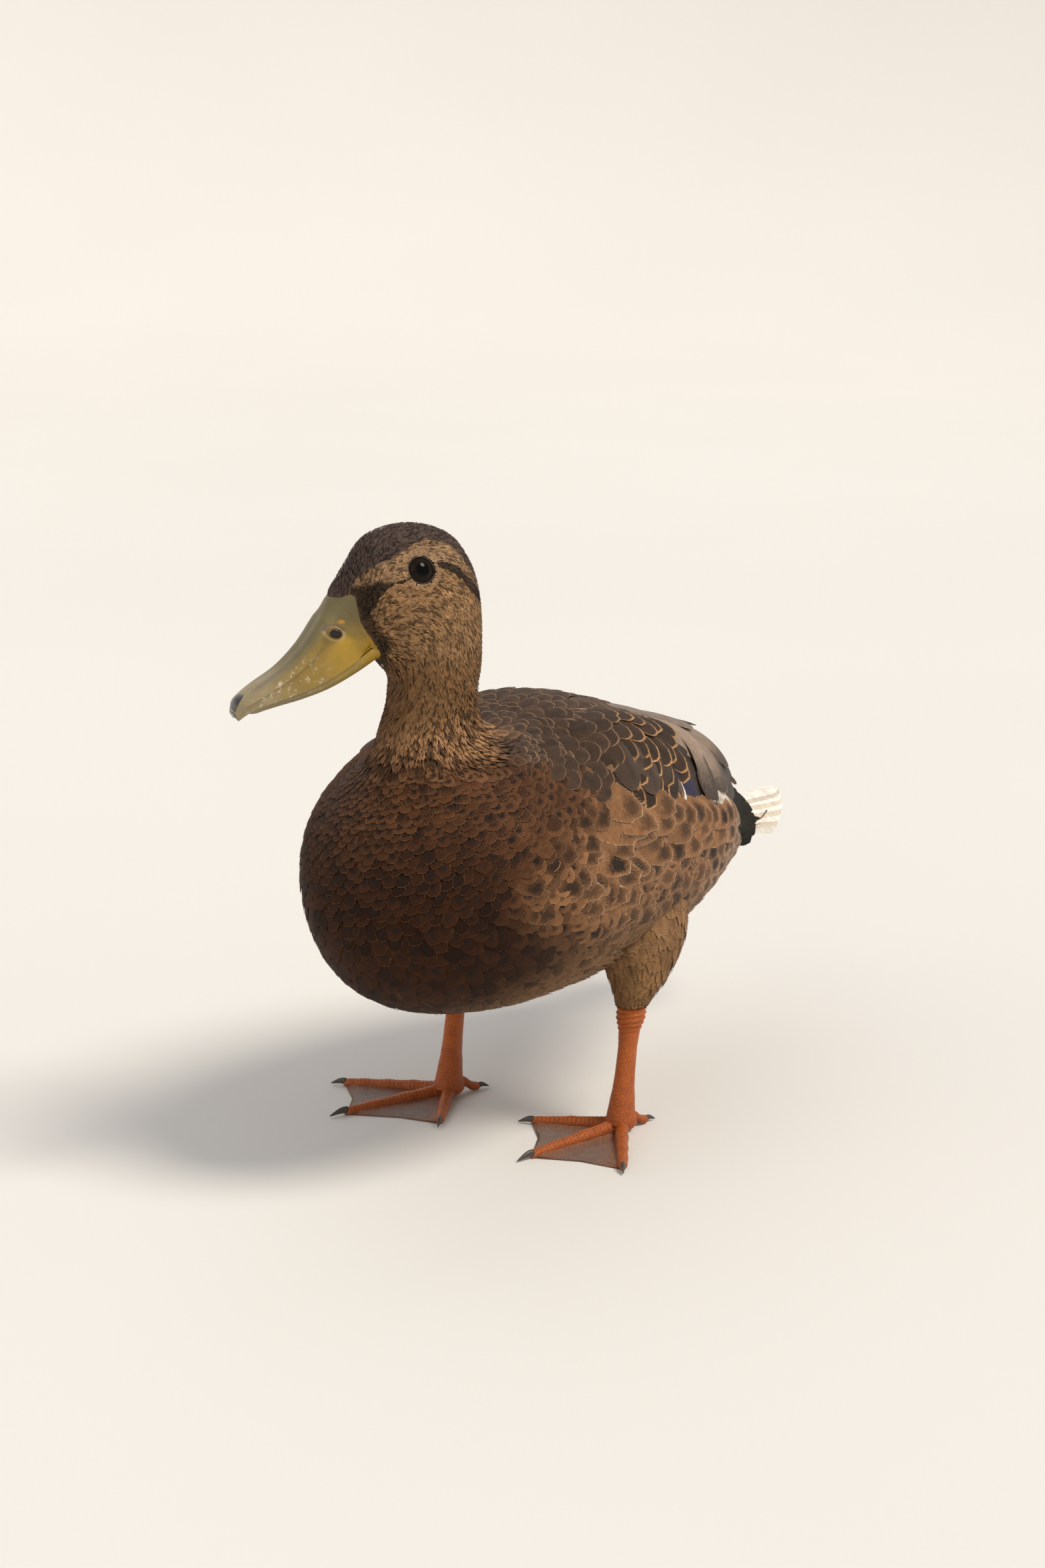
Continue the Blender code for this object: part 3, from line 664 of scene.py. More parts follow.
# Bill: olive horn skin over bone, broad and flat towards its end, with a ridge, open nostrils, a
# groove above the cutting edge and a hard dark nail at the tip. Its root runs under the feathers.
BILL = (  # forward and up of the ridge, forward and up of the cutting edge, half width
    (112.0, 238.0, 96.7, 219.0, 12.0),
    (117.0, 229.5, 105.5, 212.6, 11.0),
    (123.6, 220.4, 115.5, 207.0, 10.4),
    (131.6, 212.5, 126.0, 203.2, 10.7),
    (141.0, 206.4, 136.5, 200.6, 11.8),
    (146.2, 202.6, 143.0, 198.6, 11.3),
    (149.8, 200.0, 147.4, 195.8, 8.6),
    (151.4, 196.6, 149.6, 192.8, 4.6),
)
JAW_LEAN = 0.75  # the lower mandible slopes back this much for each millimetre down
JAW_DEPTH = (5.6, 4.8, 4.2, 3.6, 3.0, 2.6, 2.0)  # at each row of the bill
NAIL_HALF = 4.6
NOSTRIL = (111.8, 226.0)  # forward, up
NOSTRIL_SIZE = (3.1, 2.2)
NOSTRIL_TILT = math.radians(-18)
ROOT_REACH = 1.0  # stations of the head that the bill's root runs under
BILL_LINE = (  # degrees from the ridge, station where the feathers start
    (0, 0.03), (12, 0.08), (27, 0.2), (38, 0.48), (47, 0.55), (60, 0.42), (78, 0.22), (97, 0.2),
    (117, 0.25), (155, 0.1), (180, 0.1),
)
BILL_END = len(BILL) - 1
FOREHEAD_TURN = 4 / 3  # degrees round the head for a degree round the bill


def bill_row(s):
    """Forward and up of the ridge and of the cutting edge, and the half width, s rows along the bill."""
    return np.moveaxis(smooth(BILL, np.clip(s, 0, BILL_END - 0.001)), -1, 0)


def bill_skin(s, arch):
    """The upper mandible: an arched section over each row, blended at its root into the head's outline."""
    ridge_f, ridge_z, edge_f, edge_z, half = bill_row(s)
    square = np.interp(s, (0, 1.5, 7), (0.2, 0.34, 0.72))
    rise = np.clip(np.cos(arch), 0, 1) ** square
    first_f, first_z, low_f, low_z, wide = BILL[0]
    over = turned(between(edge_f, ridge_f, rise), half * np.sin(arch), between(edge_z, ridge_z, rise))
    rise = np.clip(np.cos(arch), 0, 1) ** 0.2
    root = turned(between(low_f, first_f, rise), wide * np.sin(arch), between(low_z, first_z, rise))
    head_t, head_a = np.clip(-s, 0, None) * ROOT_REACH, arch * FOREHEAD_TURN
    line = look_up(off_back(head_a), BILL_LINE)
    sunk = np.where(s < 0, -0.45, -0.25) - 1.3 * ramp(head_t - line, -0.03, 0.12)
    joined_root = outline(head_t, head_a, sunk) + (over - root) * (s >= 0)[..., None]
    return between(joined_root, over, ramp(s, 0.0, 0.8)[..., None])


def head_frame(points):
    """Forward, side and up of points of the turned head."""
    x, y, up = np.moveaxis(points, -1, 0)
    ahead = -y - TURN_PIVOT
    forward = TURN_PIVOT + ahead * np.cos(HEAD_TURN) - x * np.sin(HEAD_TURN)
    side = x * np.cos(HEAD_TURN) + ahead * np.sin(HEAD_TURN)
    return forward, side, up


def nostril_range(forward, up):
    """1 on the nostril's rim, less inside and more outside: an oval's equation, tilted with the bill."""
    f, u = forward - NOSTRIL[0], up - NOSTRIL[1]
    along = f * math.cos(NOSTRIL_TILT) - u * math.sin(NOSTRIL_TILT)
    across = f * math.sin(NOSTRIL_TILT) + u * math.cos(NOSTRIL_TILT)
    return np.hypot(along / NOSTRIL_SIZE[0], across / NOSTRIL_SIZE[1])


def bump_at(value, middle, width):
    """1 at the middle, and a bell curve of that width round it."""
    return np.exp(-(((value - middle) / width) ** 2))


rows = np.concatenate([np.linspace(-0.95, -0.02, 26), np.linspace(0, BILL_END, 190)])
s, arch = grid(rows, np.linspace(-math.pi / 2, math.pi / 2, 121))
over = bill_skin(s, arch)
forward, aside, up = head_frame(over)
out = np.cross(np.gradient(over, axis=1), np.gradient(over, axis=0))
out /= np.linalg.norm(out, axis=-1, keepdims=True) + 1e-9
near = nostril_range(forward, up) + 10 * (np.abs(aside) < 3)
hole = 1 - ramp(near, 0.55, 1.05)
lip = bump_at(near, 1.3, 0.28)
edge_share = np.abs(arch) / (math.pi / 2)
groove = bump_at(edge_share, 0.80, 0.045) * ramp(s, 0.6, 1.6) * (1 - ramp(s, 5.6, 6.3))
rolled = bump_at(edge_share, 0.93, 0.05) * ramp(s, 0.2, 1.2) * (1 - ramp(s, 6.2, 6.8))
culmen = bump_at(off_back(arch), 0, 16) * ramp(s, 0.0, 0.6) * (1 - ramp(s, 2.6, 4.0))
valley = bump_at(off_back(arch), 38, 14) * ramp(s, 0.4, 1.2) * (1 - ramp(s, 2.4, 4.2))
height = -2.3 * hole + 0.22 * lip - 0.32 * groove + 0.25 * rolled + 0.45 * culmen - 0.45 * valley
over = over + out * height[..., None]
inner = np.linspace(0.93, -0.93, 41)[None, :]
ridge_f, ridge_z, edge_f, edge_z, half = bill_row(s[:, :1])
palate = 0.10 * (1 - inner**2)
under = turned(between(edge_f, ridge_f, palate), half * inner, between(edge_z, ridge_z, palate))
rings = np.concatenate([over, under], axis=1)
forward, aside, up = head_frame(rings)
s_all = np.broadcast_to(s[:, :1], rings.shape[:2])
arch_all = np.concatenate([arch, np.full(under.shape[:2], math.pi / 2)], axis=1)
olive, yellow, ridge_grey = (0.180, 0.137, 0.048), (0.300, 0.193, 0.038), (0.150, 0.120, 0.080)
gape_gold, tip_grey = (0.46, 0.28, 0.025), (0.30, 0.235, 0.125)


def stained_and_shaded(colour, shape_wanted, stains_and_shade):
    """A plain colour over a grid, with each (colour, share) laid over it in turn: colour marks, and painted
    shade such as the nostril's dark opening.
    """
    colours = np.broadcast_to(np.array(colour), shape_wanted)
    for colour, share in stains_and_shade:
        colours = between(colours, colour, np.clip(share, 0, 1)[..., None])
    return colours


arch_deg = off_back(arch_all)
near = nostril_range(forward, up) + 10 * (np.abs(aside) < 3)
groove_line = bump_at(arch_deg / 90, 0.80, 0.03) * ramp(s_all, 1.0, 2.0) * (1 - ramp(s_all, 5.4, 6.0))
knob_off = np.hypot((forward - 109.0) / 1.5, (up - 230.3) / 0.9)
bill_tint = stained_and_shaded(olive, rings.shape, (
    (tip_grey, ramp(s_all, 2.0, 4.5)),
    (yellow, 0.9 * ramp(arch_deg, 42, 66) * (1 - ramp(s_all, 2.2, 4.4))),
    (gape_gold, 0.8 * ramp(arch_deg, 70, 86) * (1 - ramp(s_all, 0.6, 2.2))),
    (ridge_grey, 0.75 * bump_at(arch_deg, 24, 9) * ramp(s_all, 1.1, 1.7) * (1 - ramp(s_all, 3.6, 5.0))),
    ((0.15, 0.125, 0.055), 0.6 * (1 - ramp(arch_deg, 30, 62)) * (1 - ramp(s_all, 1.2, 3.0))),
    ((0.13, 0.10, 0.035), 0.6 * (1 - ramp(s_all, -0.2, 0.5)) * (1 - ramp(arch_deg, 50, 75))),
    ((0.10, 0.075, 0.04), 0.55 * groove_line),
    # The nostril: paler below its rim, greyer above it, and painted shade inside, where its opening is
    # painted almost black
    ((0.50, 0.40, 0.22), 0.7 * bump_at(near, 1.28, 0.2) * (up < NOSTRIL[1] + 1.0)),
    ((0.12, 0.11, 0.13), 0.6 * bump_at(near, 1.3, 0.22) * (up > NOSTRIL[1] + 0.6)),
    ((0.012, 0.006, 0.005), 1 - ramp(near, 0.78, 1.06)),
    ((0.55, 0.27, 0.03), 0.8 * (1 - ramp(knob_off, 0.6, 1.1)) * (aside > 0)),
))


def bill_finish(name, roughness, specks):
    """Horn skin: tinted by the piece's own colours, with soft mottling, fine pores and pale dried mud."""
    made, tree, shader = finish(name, roughness, specular=0.38, coat=0.06)
    tint, mottle = attribute(tree, "tint")["Color"], noise(tree, 190.0, 6.0, 0.6)
    dull = mix(tree, 1.0, tint, (0.72, 0.74, 0.8, 1), "MULTIPLY")
    bright = mix(tree, 1.0, tint, (1.24, 1.2, 1.1, 1), "MULTIPLY")
    mud = sums(tree, "SUBTRACT", noise(tree, 420.0, 8.0, 0.7), 0.54, clamp=True)
    mud = sums(tree, "MULTIPLY", mud, 9.0, clamp=True)
    cover = sums(tree, "MULTIPLY", mud, attribute(tree, "mud")["Fac"])
    shaded = mix(tree, mottle, dull, bright)
    shaded = mix(tree, sums(tree, "MULTIPLY", cover, specks), shaded, (0.62, 0.52, 0.37, 1))
    relief = sums(tree, "ADD", sums(tree, "MULTIPLY", mottle, 1.2), cover)
    relief = sums(tree, "ADD", sums(tree, "MULTIPLY", noise(tree, 2400.0, 3.0), 0.35), relief)
    dress(tree, shader, shaded, relief, 0.35, 0.00025)
    return made


horn = bill_finish("bill_horn", 0.42, 0.8)
upper = solid("bill_upper_skin", rings, horn, 60)
paint(upper, "tint", with_ends(bill_tint))
mud = ramp(arch_deg, 48, 60) * ramp(s_all, 1.3, 2.4) * (1 - ramp(s_all, 4.6, 6.0))
mud = mud + 0.35 * ramp(s_all, 3, 5)
paint(upper, "mud", np.concatenate([mud.ravel(), [0, 0]]))
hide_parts("bill_upper")

# The nail: a hard dark shield of horn grown on the bill's tip. It is a thin shell on the upper mandible,
# domed across and curving down over its end.
NAIL_BACK = 5.05  # where it starts, in rows of the bill
NAIL_HOOK = (1.6, -2.4)  # how far its end curls back, and how far up


along, across = grid(np.linspace(0, 1.22, 44), np.linspace(-1, 1, 33))
s = NAIL_BACK + (BILL_END - NAIL_BACK) * np.clip(along, 0.0, 1)
rounded = np.sqrt(np.clip(1 - (1 - np.clip(along / 0.62, 0.02, 1)) ** 2, 0, 1))
wide = NAIL_HALF * rounded * (1 - 0.3 * ramp(along, 0.7, 1.05))
arch = np.arcsin(np.clip(across * wide / bill_row(s)[4], -0.97, 0.97))
hook = np.array([NAIL_HOOK[0] * math.sin(HEAD_TURN), NAIL_HOOK[0] * math.cos(HEAD_TURN), NAIL_HOOK[1]])
base = bill_skin(s, arch) + np.clip(along - 1, 0, None)[..., None] / 0.22 * hook
dome = 0.12 + 0.5 * (1 - np.abs(across) ** 3) * ramp(along, 0.0, 0.12)
lifted = base + dome[..., None] * (0, 0, 1)
sunk = base - (0, 0, 1.0)
nail_finish, tree, shader = finish("nail_horn", 0.33, specular=0.5, coat=0.2)
streaks = noise(tree, 900.0, 5.0)
patches = sums(tree, "SUBTRACT", noise(tree, 260.0, 3.0), 0.52, clamp=True)
shaded = mix(tree, streaks, (0.012, 0.011, 0.013, 1), (0.045, 0.040, 0.042, 1))
shaded = mix(tree, sums(tree, "MULTIPLY", patches, 2.5, clamp=True), shaded, (0.10, 0.085, 0.075, 1))
dress(tree, shader, shaded, streaks, 0.25, 0.0002)
nail = solid("nail", np.concatenate([lifted, sunk[:, ::-1]], axis=1), nail_finish, 60)
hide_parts("bill_nail")

# The lower mandible: a shallow trough of bone under yellowish horn skin. It hangs from the jaw's joint in
# the head and closes inside the upper one's edge.
s, bowl = grid(np.linspace(-0.5, 6.1, 100), np.linspace(-math.pi / 2, math.pi / 2, 61))
_, _, edge_f, edge_z, half = bill_row(s)
edge_f, edge_z = edge_f + np.minimum(s, 0) * 9, edge_z - np.minimum(s, 0) * 2.5
tip_share = 1 - ramp(s, 5.2, 6.1)
depth = np.interp(s, range(7), JAW_DEPTH) * (0.35 + 0.65 * tip_share)
drop = depth * np.clip(np.cos(bowl), 0, 1) ** 0.7 + 0.2
narrow = (half - 1.2) * (0.55 + 0.45 * np.sqrt(np.clip(tip_share, 0, 1)))
lower_under = turned(edge_f - JAW_LEAN * drop, narrow * np.sin(bowl), edge_z - drop)
flat = np.linspace(0.96, -0.96, 25)[None, :]
lower_over = turned(edge_f[:, :1] - 0.1, narrow[:, :1] * flat, edge_z[:, :1] - 0.12 - 0.9 * (1 - flat**2))
rings = np.concatenate([lower_under, lower_over], axis=1)
s_ring = np.broadcast_to(s[:, :1], rings.shape[:2])
jaw_tint = stained_and_shaded((0.36, 0.25, 0.06), rings.shape, (
    ((0.30, 0.24, 0.13), ramp(s_ring, 1.0, 3.5)),
    (gape_gold, 1 - ramp(s_ring, 0.1, 0.9)),
    ((0.08, 0.055, 0.03), ramp(s_ring, 5.2, 6.0)),
))
lower = solid("bill_lower_skin", rings[:, ::-1], horn, 60)
paint(lower, "tint", with_ends(jaw_tint))
paint(lower, "mud", np.full(len(lower.data.vertices), 0.3))
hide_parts("bill_lower")

# Claws: curved dark horn spikes that grow over the toes' ends. Each is a tapering tube whose root runs
# back into its toe.
CLAWS = {  # length, height, half width
    "inner": (6, 1.9, 1.6), "middle": (7.5, 2.0, 1.7), "outer": (6, 1.9, 1.6), "hallux": (4, 1.7, 1.3),
}
CLAW_ROOT = 1.2  # how far a claw reaches back into its toe
claw_finish, tree, shader = finish("claw_horn", 0.4, specular=0.5)
grain = noise(tree, 1500.0, 4.0)
dress(tree, shader, mix(tree, grain, (0.022, 0.019, 0.018, 1), (0.10, 0.08, 0.065, 1)), grain, 0.2, 0.0002)


def claw_tube(side, toe, rings=18, around=16):
    """A spike that leaves a toe's end and curves down to the floor: its radius falls to a blunt point."""
    length, height, width = CLAWS[toe]
    direction = math.pi if toe == "hallux" else toe_angle(side, toe)
    start = 15.0 if toe == "hallux" else TOES[toe] - CLAW_ROOT
    share, angle = grid(np.linspace(0, 1, rings), circle(around))
    size = width * (1 - share**1.4) ** 0.8 * (0.9 + 0.1 * np.sin(angle)) + 0.12
    middle = 0.3 + height * (1 - 0.72 * share**1.8) + 0.6 * np.sin(math.pi * share) * (1 - share)
    across = 0.72 * size * np.sin(angle)
    ahead = start + (length + CLAW_ROOT) * share
    x = ahead * math.sin(direction) + across * math.cos(direction)
    y = ahead * math.cos(direction) - across * math.sin(direction)
    return on_foot(np.stack([x, y, np.maximum(middle + size * np.cos(angle), 0.1)], axis=-1), side)


for side in SIDES:
    for toe in CLAWS:
        claw = solid(f"horn_{toe}_{side}", claw_tube(side, toe), claw_finish)
        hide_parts(f"claw_{toe}_{side}")

# Plumage. Every feather is a thin closed vane: a rounded leaf, arched across, its root sunk in the coat
# and its tip lying on the feathers behind it, with loose barb ends along its rim. Feathers sit in
# staggered rows along the body and bend with it. Each carries its own tint, rim, dark spot and barbs.
rng = np.random.default_rng(7)
STEP = 0.01  # a small part of a station, for slopes
PATCH = 0.003  # width of one feather's place on the baking map
ROW_POWER = 1.35  # a vane's rows crowd towards its tip
LIFT_POWER = 0.8  # and it rises fastest near its root
UNDER_SHORT, UNDER_ARCH = 0.14, 0.35  # the underside ends before the tip, and is arched less
HAIR_TIP = 0.8  # this share of the loose barb ends stands round the tip, and the rest down the sides
HAIR_LENGTH, HAIR_WIDTH = (-0.5, -0.5, -0.3, 1.0), (-0.5, 0.5, 0, 0)  # a loose end's four corners
HAIR_DROP = (0, 0, -0.12, -0.1)
SHADES = 0.18  # feathers are lighter or darker than their neighbours by up to this share
GIRTH = 60.0  # about the body's half width, which turns millimetres across it into radians
SIDE_RIM, TIP_RIM = 2.8, 0.8  # a rim is narrower along the sides than at the tip


def chart(obj, name, places):
    """A UV map with one place for each point."""
    corners = np.empty(len(obj.data.loops), np.int32)
    obj.data.loops.foreach_get("vertex_index", corners)
    layer = obj.data.uv_layers.new(name=name)
    layer.data.foreach_set("uv", np.asarray(places, np.float32)[corners].ravel())


def laid(surface, t, around, lie=0.0, shaft=None):
    """How much t and around change at each place for a millimetre along a feather, and for one across it."""
    along = (surface(t + STEP, around, 0.0) - surface(t - STEP, around, 0.0)) / (2 * STEP)
    across = (surface(t, around + STEP, 0.0) - surface(t, around - STEP, 0.0)) / (2 * STEP)
    out = unit(np.cross(across, along))
    if shaft is None:
        ahead = unit(along)
        shaft = ahead * np.cos(lie)[..., None] + np.cross(ahead, out) * np.sin(lie)[..., None]
    wide = unit(np.cross(shaft, out))
    aa, ab, bb = ((p * q).sum(axis=-1) for p, q in ((along, along), (along, across), (across, across)))
    det = aa * bb - ab**2
    steps = []
    for direction in (shaft, wide):
        p, q = (direction * along).sum(axis=-1), (direction * across).sum(axis=-1)
        steps.append(((bb * p - ab * q) / det, (aa * q - ab * p) / det))
    return steps


def vanes(name, surface, t, around, length, half, rise, finish_used, lie=0.0, depth=-1.5, arch=0.2, rows=8,
          columns=5, blunt=0.5, root=0.35, fray=0.0, split=0.0, thick=0.1, hairs=0, hair=(1.0, 0.16),
          colours=None, path=None):
    """One piece of many feathers, from arrays of their roots and sizes.

    A feather lies straight, or follows its own row of path: knots of (t, around) from root to tip. Its
    barbs end on a rounded line, blunt of the way along at its sides. split shortens every other one, fray
    wears them unevenly, and hairs adds that many loose ends of the length and width in hair.
    """
    n = len(t)
    tint, rim, spot, width = markings(t, around) if colours is None else colours
    t, around, length, half, rise, lie, depth, arch = (
        np.broadcast_to(np.asarray(value, float), (n,))[:, None, None]
        for value in (t, around, length, half, rise, lie, depth, arch)
    )
    ring = columns + 1
    v = (1 - (1 - np.linspace(0, 1, rows)) ** ROW_POWER)[:, None]
    u = np.concatenate([np.sin(np.linspace(-1, 1, columns) * math.pi / 2), [0.0]])[None, :]
    under = (np.arange(ring) == columns)[None, :]

    def barb_end(u):
        """Where the barbs end, as a share of the length: part of an oval across the vane."""
        return 1 - (1 - blunt) * (1 - np.sqrt(1 - 0.96 * u**2))

    def breadth(v):
        """Share of the full width: a quarter wave from the root to halfway."""
        return root + (1 - root) * np.sin(math.pi / 2 * np.clip(v / 0.5, 0, 1))

    def lifted(u, v, reach):
        """Height over the surface: depth at the root, rise at the tip, and an arch over the shaft."""
        return (rise - depth) * reach**LIFT_POWER + depth + arch * ((1 - u**2) * breadth(v))

    short_barb = split * (np.arange(ring) % 2)[None, :] * ~under * v**3
    reach = v * barb_end(u) * (1 - short_barb) * (1 - UNDER_SHORT * under * v)
    worn = 1 + fray * rng.uniform(-1, 0.5, (n, 1, ring)) * v**3 * ~under
    x = half * breadth(v) * u * (1 + fray * rng.uniform(-1, 0.5, (n, rows, 1)) * v)
    y = length * reach * worn
    height = lifted(u, v, reach) - (thick + arch * UNDER_ARCH) * under * breadth(v)
    if path is None:
        (shaft_t, shaft_a), (wide_t, wide_a) = laid(surface, t, around, lie)
        points = surface(t + shaft_t * y + wide_t * x, around + shaft_a * y + wide_a * x, height)
    else:
        knots = np.moveaxis(np.asarray(path, float), 1, 0).reshape(len(path[0]), -1)
        last = len(knots) - 1.001
        spine = np.moveaxis(smooth(knots, v[:, 0] * last).reshape(rows, n, 2), 0, 1)
        bent = np.moveaxis(smooth(knots, (reach + 0 * u) * last).reshape(rows, ring, n, 2), 2, 0)
        heading = np.gradient(surface(spine[..., 0], spine[..., 1], np.zeros((n, rows))), axis=1)
        wide_t, wide_a = laid(surface, spine[..., 0], spine[..., 1], shaft=heading)[1]
        points = surface(bent[..., 0] + wide_t[..., None] * x, bent[..., 1] + wide_a[..., None] * x, height)
    starts = (np.arange(n) * rows * ring)[:, None, None]
    column = np.arange(columns - 1)
    root_fan = np.stack([column + 1, column, np.full(columns - 1, columns)], axis=-1)
    ends = np.concatenate([root_fan, root_fan[:, ::-1] + (rows - 1) * ring])
    faces = [(quads_between(rows, ring) + starts).reshape(-1, 4), (ends + starts).reshape(-1, 3)]
    points = points.reshape(-1, 3)
    edge = np.minimum((1 - np.abs(u)) * half * breadth(v) * SIDE_RIM, (1 - v) * length * TIP_RIM).ravel()
    leaf = np.stack(np.broadcast_arrays(u / 2 + 0.5, v, x)[:2], axis=-1).reshape(-1, 2)
    grain = np.stack(np.broadcast_arrays(x, y), axis=-1).reshape(-1, 2)
    owner = np.repeat(np.arange(n), rows * ring)
    if hairs:
        # Loose barb ends: needles of four faces, slanting off the rim round the tip and down both sides
        place = np.linspace(-1, 1, hairs)[None, :] + rng.uniform(-0.5, 0.5, (n, hairs)) * 1.6 / hairs
        hair_u = np.sin(np.clip(place / HAIR_TIP, -1, 1) * math.pi / 2)[..., None]
        hair_v = 1 - np.clip((np.abs(place) - HAIR_TIP) / (1 - HAIR_TIP), 0, 1)[..., None] * 0.4
        size = hair[0] * rng.uniform(0.5, 1.4, (n, hairs, 1))
        lean = 0.8 * hair_u + rng.normal(0, 0.10, (n, hairs, 1))
        forward, sideways = np.array(HAIR_LENGTH) * size, np.array(HAIR_WIDTH) * hair[1]
        reach = hair_v * barb_end(hair_u)
        x = half * breadth(hair_v) * hair_u + forward * np.sin(lean) + sideways * np.cos(lean)
        y = length * reach + forward * np.cos(lean) - sideways * np.sin(lean)
        lift = lifted(hair_u, hair_v, reach) + HAIR_DROP
        lift = lift + 0.1 * rng.uniform(0, 1, (n, hairs, 1))
        more = surface(t + shaft_t * y + wide_t * x, around + shaft_a * y + wide_a * x, lift)
        four = np.array([[0, 1, 3], [1, 2, 3], [2, 0, 3], [0, 2, 1]])
        faces.append((four + (len(points) + 4 * np.arange(n * hairs))[:, None, None]).reshape(-1, 3))
        points = np.concatenate([points, more.reshape(-1, 3)])
        edge = np.concatenate([edge, np.full(n * hairs * 4, -2.0)])
        hair_leaf = np.stack(np.broadcast_arrays(hair_u / 2 + 0.5, hair_v, x)[:2], axis=-1)
        leaf = np.concatenate([leaf, hair_leaf.reshape(-1, 2)])
        grain = np.concatenate([grain, np.stack([x, y], axis=-1).reshape(-1, 2)])
        owner = np.concatenate([owner, np.repeat(np.arange(n), hairs * 4)])
    obj = shape(name, points, faces, [finish_used], 70)
    tint = tint * (1 + rng.uniform(-SHADES, SHADES, (n, 1)))
    rim = rim * (1 + rng.uniform(-SHADES, SHADES, (n, 1)))
    spot = spot * rng.uniform(0.6, 1.15, n)
    paint(obj, "tint", np.concatenate([tint, spot[:, None]], axis=1)[owner])
    paint(obj, "rim_tint", np.concatenate([rim, np.broadcast_to(width, (n,))[:, None]], axis=1)[owner])
    paint(obj, "edge", edge)
    chart(obj, "Vane", leaf)
    chart(obj, "Barbs", grain + rng.uniform(0, 400, (n, 2))[owner])
    turns, share = (around.ravel() / (2 * math.pi)) % 1.0, np.clip(t.ravel() / (LAST + 1), 0, 1)
    chart(obj, "OFBake",
          np.stack([turns, share], axis=-1)[owner] * (1 - PATCH) + np.clip(leaf, 0, 1) * PATCH)
    return obj


def tract(t_from, t_to, a_from, a_to, step, pitch, reference=math.pi / 2, jitter=0.18, surface=outline,
          thin=False):
    """Roots in staggered rows over part of the body, on both sides: t, around, row gap and pitch of each.

    step, between rows, and pitch, between feathers, are millimetres or rows of (station, millimetres). They
    hold at the reference angle. With thin, feathers are dropped where rows crowd.
    """

    def at(value, t):
        """What holds at a station: a value read off rows, or one value for all."""
        return look_up(t, value) if np.ndim(value) else value + 0 * t

    def run(t, around):
        """Millimetres over two steps along the surface."""
        return np.linalg.norm(surface(t + STEP, around, 0.0) - surface(t - STEP, around, 0.0), axis=-1)

    samples = 60
    here = np.radians(np.linspace(math.degrees(a_from), math.degrees(a_to), samples))
    found, t, odd = [], t_from, 0
    while t < t_to:
        row = surface(np.full(samples, t), here, 0.0)
        reach = np.concatenate([[0], np.cumsum(np.linalg.norm(np.diff(row, axis=0), axis=-1))])
        count = max(2, int(reach[-1] / at(pitch, t)))
        # A quarter of a pitch from the row's end, and three quarters in every other row
        shares = (np.arange(count) + 0.25 + 0.5 * (odd % 2)) / count
        places = np.interp(shares * reach[-1], reach, here)
        found.append(np.stack([np.full(count, t), places], axis=-1))
        t += float(at(step, t)) / (run(np.array([t]), np.array([reference]))[0] / (2 * STEP))
        odd += 1
    roots = np.concatenate(found)
    along = run(roots[:, 0], roots[:, 1])
    fixed = run(roots[:, 0], np.full(len(roots), reference))
    spacing, width = at(step, roots[:, 0]), at(pitch, roots[:, 0])
    local = spacing * along / fixed
    if thin:
        keep = rng.uniform(0, 1, len(roots)) < np.clip(along / fixed, 0, 1)
        local = np.maximum(local, spacing)
        roots, local, along, width = kept(keep, roots, local, along, width)
    sides = []
    for sign in SIDES.values():
        reach = np.stack([local / (along / (2 * STEP)), width / GIRTH], axis=-1)
        shaken = roots + rng.uniform(-1, 1, roots.shape) * jitter * reach
        sides.append(np.stack([shaken[:, 0], sign * shaken[:, 1], local, width], axis=-1))
    return np.concatenate(sides).T


def kept(clear, *values):
    """The chosen feathers of each array."""
    return [value[clear] for value in values]


